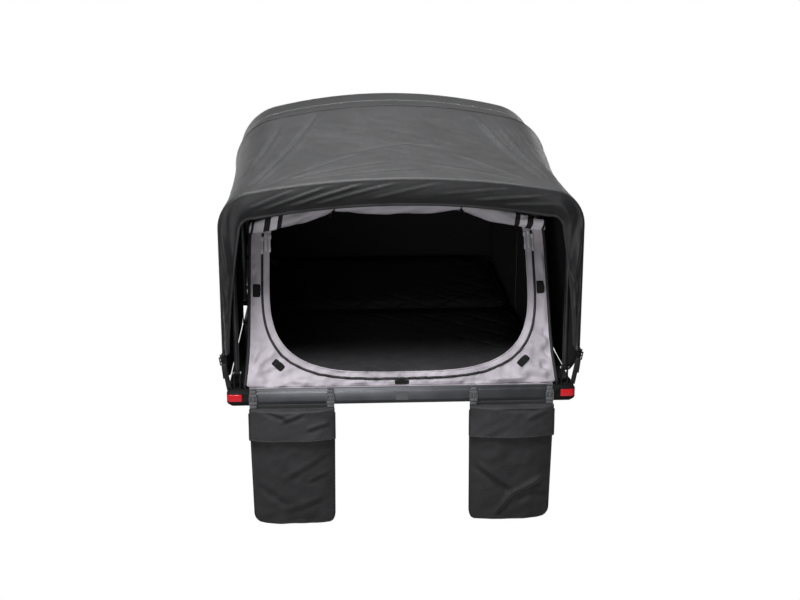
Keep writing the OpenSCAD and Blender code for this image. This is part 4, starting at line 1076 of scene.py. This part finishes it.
fly_edge("fly_front_hem", [p + Vector((0, -0.0005, 0)) for p in rows[0]], 0.006,
         flat=0.3, up=(0, 1, 0))
fly_edge("fly_left_hem", [row[0] for row in rows[VALANCE_ROWS:]], 0.0035)
fly_edge("fly_right_hem", [row[-1] for row in rows[VALANCE_ROWS:]], 0.0035)
fly_edge("fly_bow_seam", bow_seam(bow_row, bow_line), 0.007, fly_satin, flat=0.12, up=(1, 0, 0))


# Fly sheet, rear: the same cloth from the ridge over the rear centre bow and down past the rear
# bow, closed by a back panel that is hemmed along the rear rail.
rear_bow_line = arch(0.7194, 0.030, 0.9594, 0.2244, 13)
over_rear_bow = [on_bow(x, z, rear=True) for x, z, a, b in rear_bow_line]
TAIL = math.radians(46)
TAIL_Y, TAIL_Z, PIVOT_Y, PIVOT_Z = 1.731, 0.132, 0.635, 0.143
tail_line = arch(FLY_HALF, 0.0, 0.9465, 0.1065, 0)
shoulder = tail_line[LEG][1]
tail = []
for i, (x, z, a, b) in enumerate(tail_line):
    if min(i, COLUMNS - 1 - i) < LEG:
        share = z / shoulder
        y = TAIL_Y + (PIVOT_Y + shoulder * math.cos(TAIL) - TAIL_Y) * share
        height = TAIL_Z + (PIVOT_Z + shoulder * math.sin(TAIL) - TAIL_Z) * share
        tail.append(Vector((x, y, height)))
    else:
        tail.append(Vector((x, PIVOT_Y + z * math.cos(TAIL), PIVOT_Z + z * math.sin(TAIL))))
rear_folds = [
    ((-0.62, 0.95), (-0.36, 0.05), 0.018, 0.014), ((0.60, 0.95), (0.38, 0.05), 0.018, -0.013),
    ((-0.66, 0.9), (-0.56, 0.1), 0.014, 0.009), ((0.67, 0.9), (0.55, 0.1), 0.014, -0.009)]
ridge = [p + Vector((0, 0.001, 0)) for p in over_hinge]
rows = []
for k in range(RIDGE_ROWS + 1):
    share = k / RIDGE_ROWS
    sag = Vector((0, 0, 0.003 * math.sin(math.pi * share)))
    rows.append([a.lerp(b, share) - sag for a, b in zip(ridge, over_rear_bow)])
for k in range(1, 45):
    share = k / 44
    s = math.sin(math.pi * share)
    row = []
    for i in range(COLUMNS):
        p = over_rear_bow[i].lerp(tail[i], share)
        x = p.x
        from_foot = min(i, COLUMNS - 1 - i)
        top = clamp((from_foot - 30) / 12)
        dip = 0.014 * s * top + 0.005 * s * (1 - top)
        dip += creases(x, share, rear_folds) * max(top, 0.3)
        dip += s * (0.006 * ripple(x, share * 0.8, 0.3, 11.0)
                    + 0.002 * ripple(x + share, share, 0.09, 12.0))
        p += Vector((rear_bow_line[i][2], 0, rear_bow_line[i][3])) * dip
        if from_foot < 12:
            p.z += 0.022 * s * (1 - from_foot / 12)
        row.append(p)
    rows.append(row)
fly_rear = cloth_grid("fly_rear_cloth", rows, fly_sides, thick=FLY_THICK)
gather(fly_rear, "rear_base", "fly_cloth", "fly_rear", layer=FLY_LAYER)
fly_edge("fly_rear_left_hem", [row[0] for row in rows], 0.0035, body="rear_base")
fly_edge("fly_rear_right_hem", [row[-1] for row in rows], 0.0035, body="rear_base")
fly_edge("fly_rear_seam", bow_seam(rows[RIDGE_ROWS], rear_bow_line), 0.007, fly_satin, "rear_base",
         flat=0.12, up=(1, 0, 0))
top_edge = rows[-1][LEG:COLUMNS - LEG]
rows = []
for k in range(31):
    share = k / 30
    row = []
    for p in top_edge:
        q = p.lerp(Vector((p.x * 0.995, TAIL_Y, TAIL_Z)), share)
        wave = 0.008 * ripple(q.x, q.z, 0.30, 13.0)
        wave += 0.003 * ripple(q.x * 1.5 + q.z, q.z, 0.10, 14.0)
        wave += 0.006 * math.sin(q.x * 16 + 3 * share) * share * (1 - share) * 2
        q += Vector((0, 0.77, 0.64)) * wave * math.sin(math.pi * share)
        row.append(q)
    rows.append(row)
fly_back = cloth_grid("fly_back_cloth", rows, fly_sides, thick=FLY_THICK)
gather(fly_back, "rear_base", "fly_cloth", "fly_back", layer=FLY_LAYER)
fly_edge("fly_back_hem", rows[-1], 0.005, body="rear_base", flat=0.4)
fly_edge("fly_back_seam", [p + Vector((0, 0.001, 0.001)) for p in rows[0]], 0.007, fly_satin,
         "rear_base", flat=0.15, up=(1, 0, 0))


# Corner straps: black webbing from the fly's front corners down to the base. Each runs through a
# moulded ladder-lock, and its loose end hangs in front of it.
black_webbing = cloth_finish("black_webbing", (0.010, 0.010, 0.011), (0.020, 0.020, 0.022), 0.75,
                             threads=260.0, crease=0.0008)
STRAP_LAYER = (0.104, 0.02)


def webbing(name, points, width, thick, across, finish):
    """Flat webbing along points, with its width along a fixed direction."""
    across = Vector(across).normalized() * (width / 2)
    rows = [[Vector(p) + across * a for a in (-1, -0.5, 0, 0.5, 1)] for p in points]
    return cloth_grid(name, rows, [finish], thick=thick, offset=0)


for label, side, nodes in (("left", -1, ["fly_straps"]), ("right", 1, [])):
    top = Vector((side * 0.728, -0.5872, 0.2615))
    low = Vector((side * 0.705, -0.5650, 0.1042))
    down = (low - top) / 12
    across = Vector((1, 0, 0)) - down * (down.x / down.length_squared)
    run = [top + down * i + Vector((0, -0.001 * math.sin(math.pi * i / 12), 0)) for i in range(13)]
    tail = [top + down * (3 + 0.62 * i)
            + Vector((side * 0.0006 * i, -0.0075 - 0.002 * math.sin(i * 0.5), 0)) for i in range(9)]
    strap = webbing(label + "_fly_strap", run, 0.020, 0.0018, across, black_webbing)
    loose = webbing(label + "_strap_tail", tail, 0.020, 0.0016, across, black_webbing)
    middle = top + down * 2.1 + Vector((0, -0.0045, 0))
    on_strap = lambda p: middle + across * p.x + Vector((0, p.y, 0)) - down * (p.z / down.length)
    work = bmesh.new()
    for dz in (-0.016, 0.0, 0.016):
        rounded_block(work, (0, 0, dz), (0.0135, 0.003, 0.0025), 0.0012, on_strap)
    for dx in (-0.0135, 0.0135):
        rounded_block(work, (dx, 0, 0), (0.0022, 0.0026, 0.018), 0.001, on_strap)
    lock = piece_of(work, label + "_ladder_lock")
    smooth_by_angle(lock, black_nylon)
    gather(strap, "base", "webbing_black", *nodes, layer=STRAP_LAYER)
    gather(loose, "base", "webbing_black", layer=STRAP_LAYER)
    gather(lock, "base", "webbing_black", layer=STRAP_LAYER)


# Shoe bags: heavy polyester pouches hung from the front rail, bound round the edge, with a flap
# over the mouth and two straps closed by side-release buckles.
bag_weave = {"threads": 330.0, "crease": 0.004, "size": 16.0,
             "sheen_weight": 0.15, "sheen_roughness": 0.5}
bag_cloth = cloth_finish("bag_cloth", (0.011, 0.011, 0.0125), (0.021, 0.021, 0.0235), 0.72,
                         **bag_weave)
# Painted light: the flap is the bag cloth made about half as light again, for the light that the
# flap catches and the pouch below it does not.
painted_lit_flap_cloth = cloth_finish("painted_lit_flap_cloth", (0.0165, 0.0165, 0.0185), (0.033, 0.033, 0.0365), 0.66,
                          **bag_weave)
grey_webbing = cloth_finish("grey_webbing", (0.085, 0.087, 0.092), (0.13, 0.132, 0.138), 0.7,
                            threads=260.0, crease=0.0008)
grey_acetal = moulding_finish("grey_acetal", (0.10, 0.102, 0.108), (0.15, 0.152, 0.158), 0.4, 700.0)
BAG_X, BAG_HALF, BAG_CORNER, STRAP_X = 0.452, 0.173, 0.045, 0.158
BAG_BACK, BAG_TOP, BAG_FOOT, MOUTH_Z, PANEL_TOP = -0.5785, 0.024, -0.480, -0.016, 0.041
FLAP_HALF, FLAP_Y, FLAP_Z, FLAP_LIMIT, BUCKLE_Y = 0.1745, -0.5905, 0.0255, -0.641, -0.5775


def bag_outline(side, z):
    """Half widths to the left and right at a height, and how far down the bag it is (0 to 1)."""
    share = (BAG_TOP - z) / (BAG_TOP - BAG_FOOT)
    short = max(0.0, BAG_CORNER - (z - BAG_FOOT))
    cut = BAG_CORNER - math.sqrt(max(0.0, BAG_CORNER ** 2 - short ** 2))
    outer = BAG_HALF - 0.010 * share - cut
    inner = BAG_HALF - 0.004 * share - cut * 0.45
    return (outer, inner) if side < 0 else (inner, outer), share


def bag_depth(a, share):
    """How far the front stands off the back, a from -1 to 1 across."""
    fill = 0.35 + 0.65 * math.sin(math.pi * min(1.0, 0.16 + share * 0.86))
    return 0.005 + 0.034 * ((1 - abs(a) ** 3.2) * fill)


def rim_of(rows):
    """Down one side of a sheet, along its foot and up the other side."""
    return [r[0] for r in rows] + rows[-1][1:-1] + [r[-1] for r in reversed(rows)]


bag_folds = {
    -1: [((0.15, 0.20), (-0.05, 0.33), 0.014, 0.005),
         ((-0.16, 0.36), (-0.02, 0.47), 0.015, -0.005),
         ((0.16, 0.29), (0.05, 0.345), 0.010, 0.004), ((0.13, 0.42), (-0.04, 0.49), 0.014, 0.004)],
    1: [((-0.18, 0.27), (0.02, 0.435), 0.013, -0.011),
        ((0.15, 0.335), (-0.01, 0.435), 0.012, 0.011),
        ((0.02, 0.40), (-0.065, 0.535), 0.011, 0.009), ((0.02, 0.47), (0.11, 0.415), 0.010, -0.007),
        ((0.08, 0.415), (0.17, 0.46), 0.010, -0.007)]}
flap_folds = {
    -1: [((-0.13, 0.015), (-0.02, 0.075), 0.010, -0.007),
         ((0.05, 0.030), (-0.05, 0.075), 0.010, 0.006),
         ((0.155, 0.070), (0.055, 0.115), 0.010, 0.006)],
    1: [((-0.05, 0.035), (0.12, 0.040), 0.009, -0.006),
        ((0.16, 0.020), (0.05, 0.085), 0.011, 0.004)]}
buckle_arms = [(e * x, out, z, half, bevel) for e in (-1, 1) for x, out, z, half, bevel in (
    (0.0142, 0.0055, 0.0640, (0.0026, 0.0046, 0.0105), 0.0015),
    (0.0085, 0.0050, 0.0600, (0.0022, 0.0034, 0.0130), 0.0012))]
buckle_blocks = [(0.0, 0.0055, 0.0795, (0.0155, 0.0050, 0.0065), 0.002), *buckle_arms,
                 (0.0, 0.0062, 0.0625, (0.0050, 0.0042, 0.0120), 0.0016),
                 (0.0, 0.0055, 0.0480, (0.0165, 0.0052, 0.0060), 0.002),
                 (0.0, 0.0050, 0.0335, (0.0140, 0.0042, 0.0070), 0.0018)]

for label, side in (("left", -1), ("right", 1)):
    bag, middle = label + "_bag", side * BAG_X
    front, back = [], []
    for k in range(73):
        z = MOUTH_Z + (BAG_FOOT - MOUTH_Z) * k / 72
        (west, east), share = bag_outline(side, z)
        row = []
        for i in range(49):
            a = i / 24 - 1
            x = middle + a * (east if a > 0 else west)
            wave = 0.006 * ripple(x * 0.9, z * 0.6 + side, 0.13, 20 + side)
            wave += 0.004 * ripple(x + z, z - x, 0.06, 23 + side)
            wave += creases(x - middle, share * 0.5556, bag_folds[side])
            wave *= (1 - abs(a) ** 6) * min(1.0, share * 5)
            row.append(Vector((x, BAG_BACK - bag_depth(a, share) - wave, z)))
        front.append(row)
        z = PANEL_TOP + (BAG_FOOT - PANEL_TOP) * k / 72
        (west, east), share = bag_outline(side, z)
        back.append([Vector((middle + (i / 6 - 1) * (east if i > 6 else west),
                             BAG_BACK + 0.0005, z)) for i in range(13)])
    ledge = [[Vector((middle + 0.0145 * i, y, 0.0245)) for i in range(-12, 13)]
             for y in (-0.5900, -0.5862, -0.5823, BAG_BACK)]
    pouch = cloth_grid(bag + "_front", [r[::-1] for r in front], [bag_cloth], thick=0.0015)
    fixed(pouch, bag, "bag_cloth", bag)
    fixed(cloth_grid(bag + "_back", back, [bag_cloth], thick=0.0015), bag, "bag_cloth")
    fixed(cloth_grid(bag + "_ledge", ledge, [bag_cloth], thick=0.0025), bag, "bag_cloth")
    rim = [p + Vector((0, 0.0022, 0)) for p in rim_of(front)]
    fixed(tube_along(bag + "_binding", rim, 0.0045, hem_black, flat=0.7), bag, "bag_cloth")

    rows = []
    for k in range(41):
        row = []
        for i in range(49):
            a = i / 24 - 1
            x = middle + a * FLAP_HALF
            deep = 0.006 + 0.028 * (1 - abs(a) ** 3)
            run = k / 40 * (0.1285 + 0.65 * deep)
            over = min(1.0, run / deep)
            down = max(0.0, run - deep)
            y = FLAP_Y - deep * (1 - (1 - over) ** 2)
            z = FLAP_Z - 0.35 * deep * over ** 2 - down
            y -= 0.006 * (down / 0.13) ** 2 * (0.6 + 0.4 * math.sin(5 * a + side))
            wave = 0.004 * ripple(x, run * 0.7, 0.11, 30 + side)
            wave += 0.002 * ripple(x + run, run, 0.05, 33 + side)
            wave += creases(x - middle, run / 0.9, flap_folds[side])
            row.append(Vector((x, max(y - wave * min(1.0, run * 20), FLAP_LIMIT), z)))
        rows.append(row)
    flap = cloth_grid(label + "_painted_lit_flap_cloth", [r[::-1] for r in rows], [painted_lit_flap_cloth], thick=0.0018)
    fixed(flap, label + "_flap", "bag_cloth", bag + "_flap")
    binding = tube_along(label + "_flap_binding", rim_of(rows[6:]), 0.004, hem_black,
                         flat=0.6, up=(0, 1, 0))
    fixed(binding, label + "_flap", "bag_cloth")

    work = bmesh.new()
    for end, dx, nodes in (("a", -STRAP_X, [bag + "_straps"]), ("b", STRAP_X, [])):
        x = middle + dx
        run = [(x, -0.5765, 0.100 - 0.010 * i) for i in range(14)]
        strap = webbing(bag + "_strap_" + end, run, 0.025, 0.0016, (1, 0, 0), grey_webbing)
        fixed(strap, bag, "webbing_grey", *nodes)
        for off, out, z, half, bevel in buckle_blocks:
            rounded_block(work, (x + off, BUCKLE_Y - out, z), half, bevel, Vector.copy)
    buckles = piece_of(work, label + "_buckles")
    smooth_by_angle(buckles, grey_acetal)
    fixed(buckles, bag, "buckle_grey", bag + "_buckles")

for node in ("bag_loops", "rail_tab"):
    dress(node, grey_webbing)
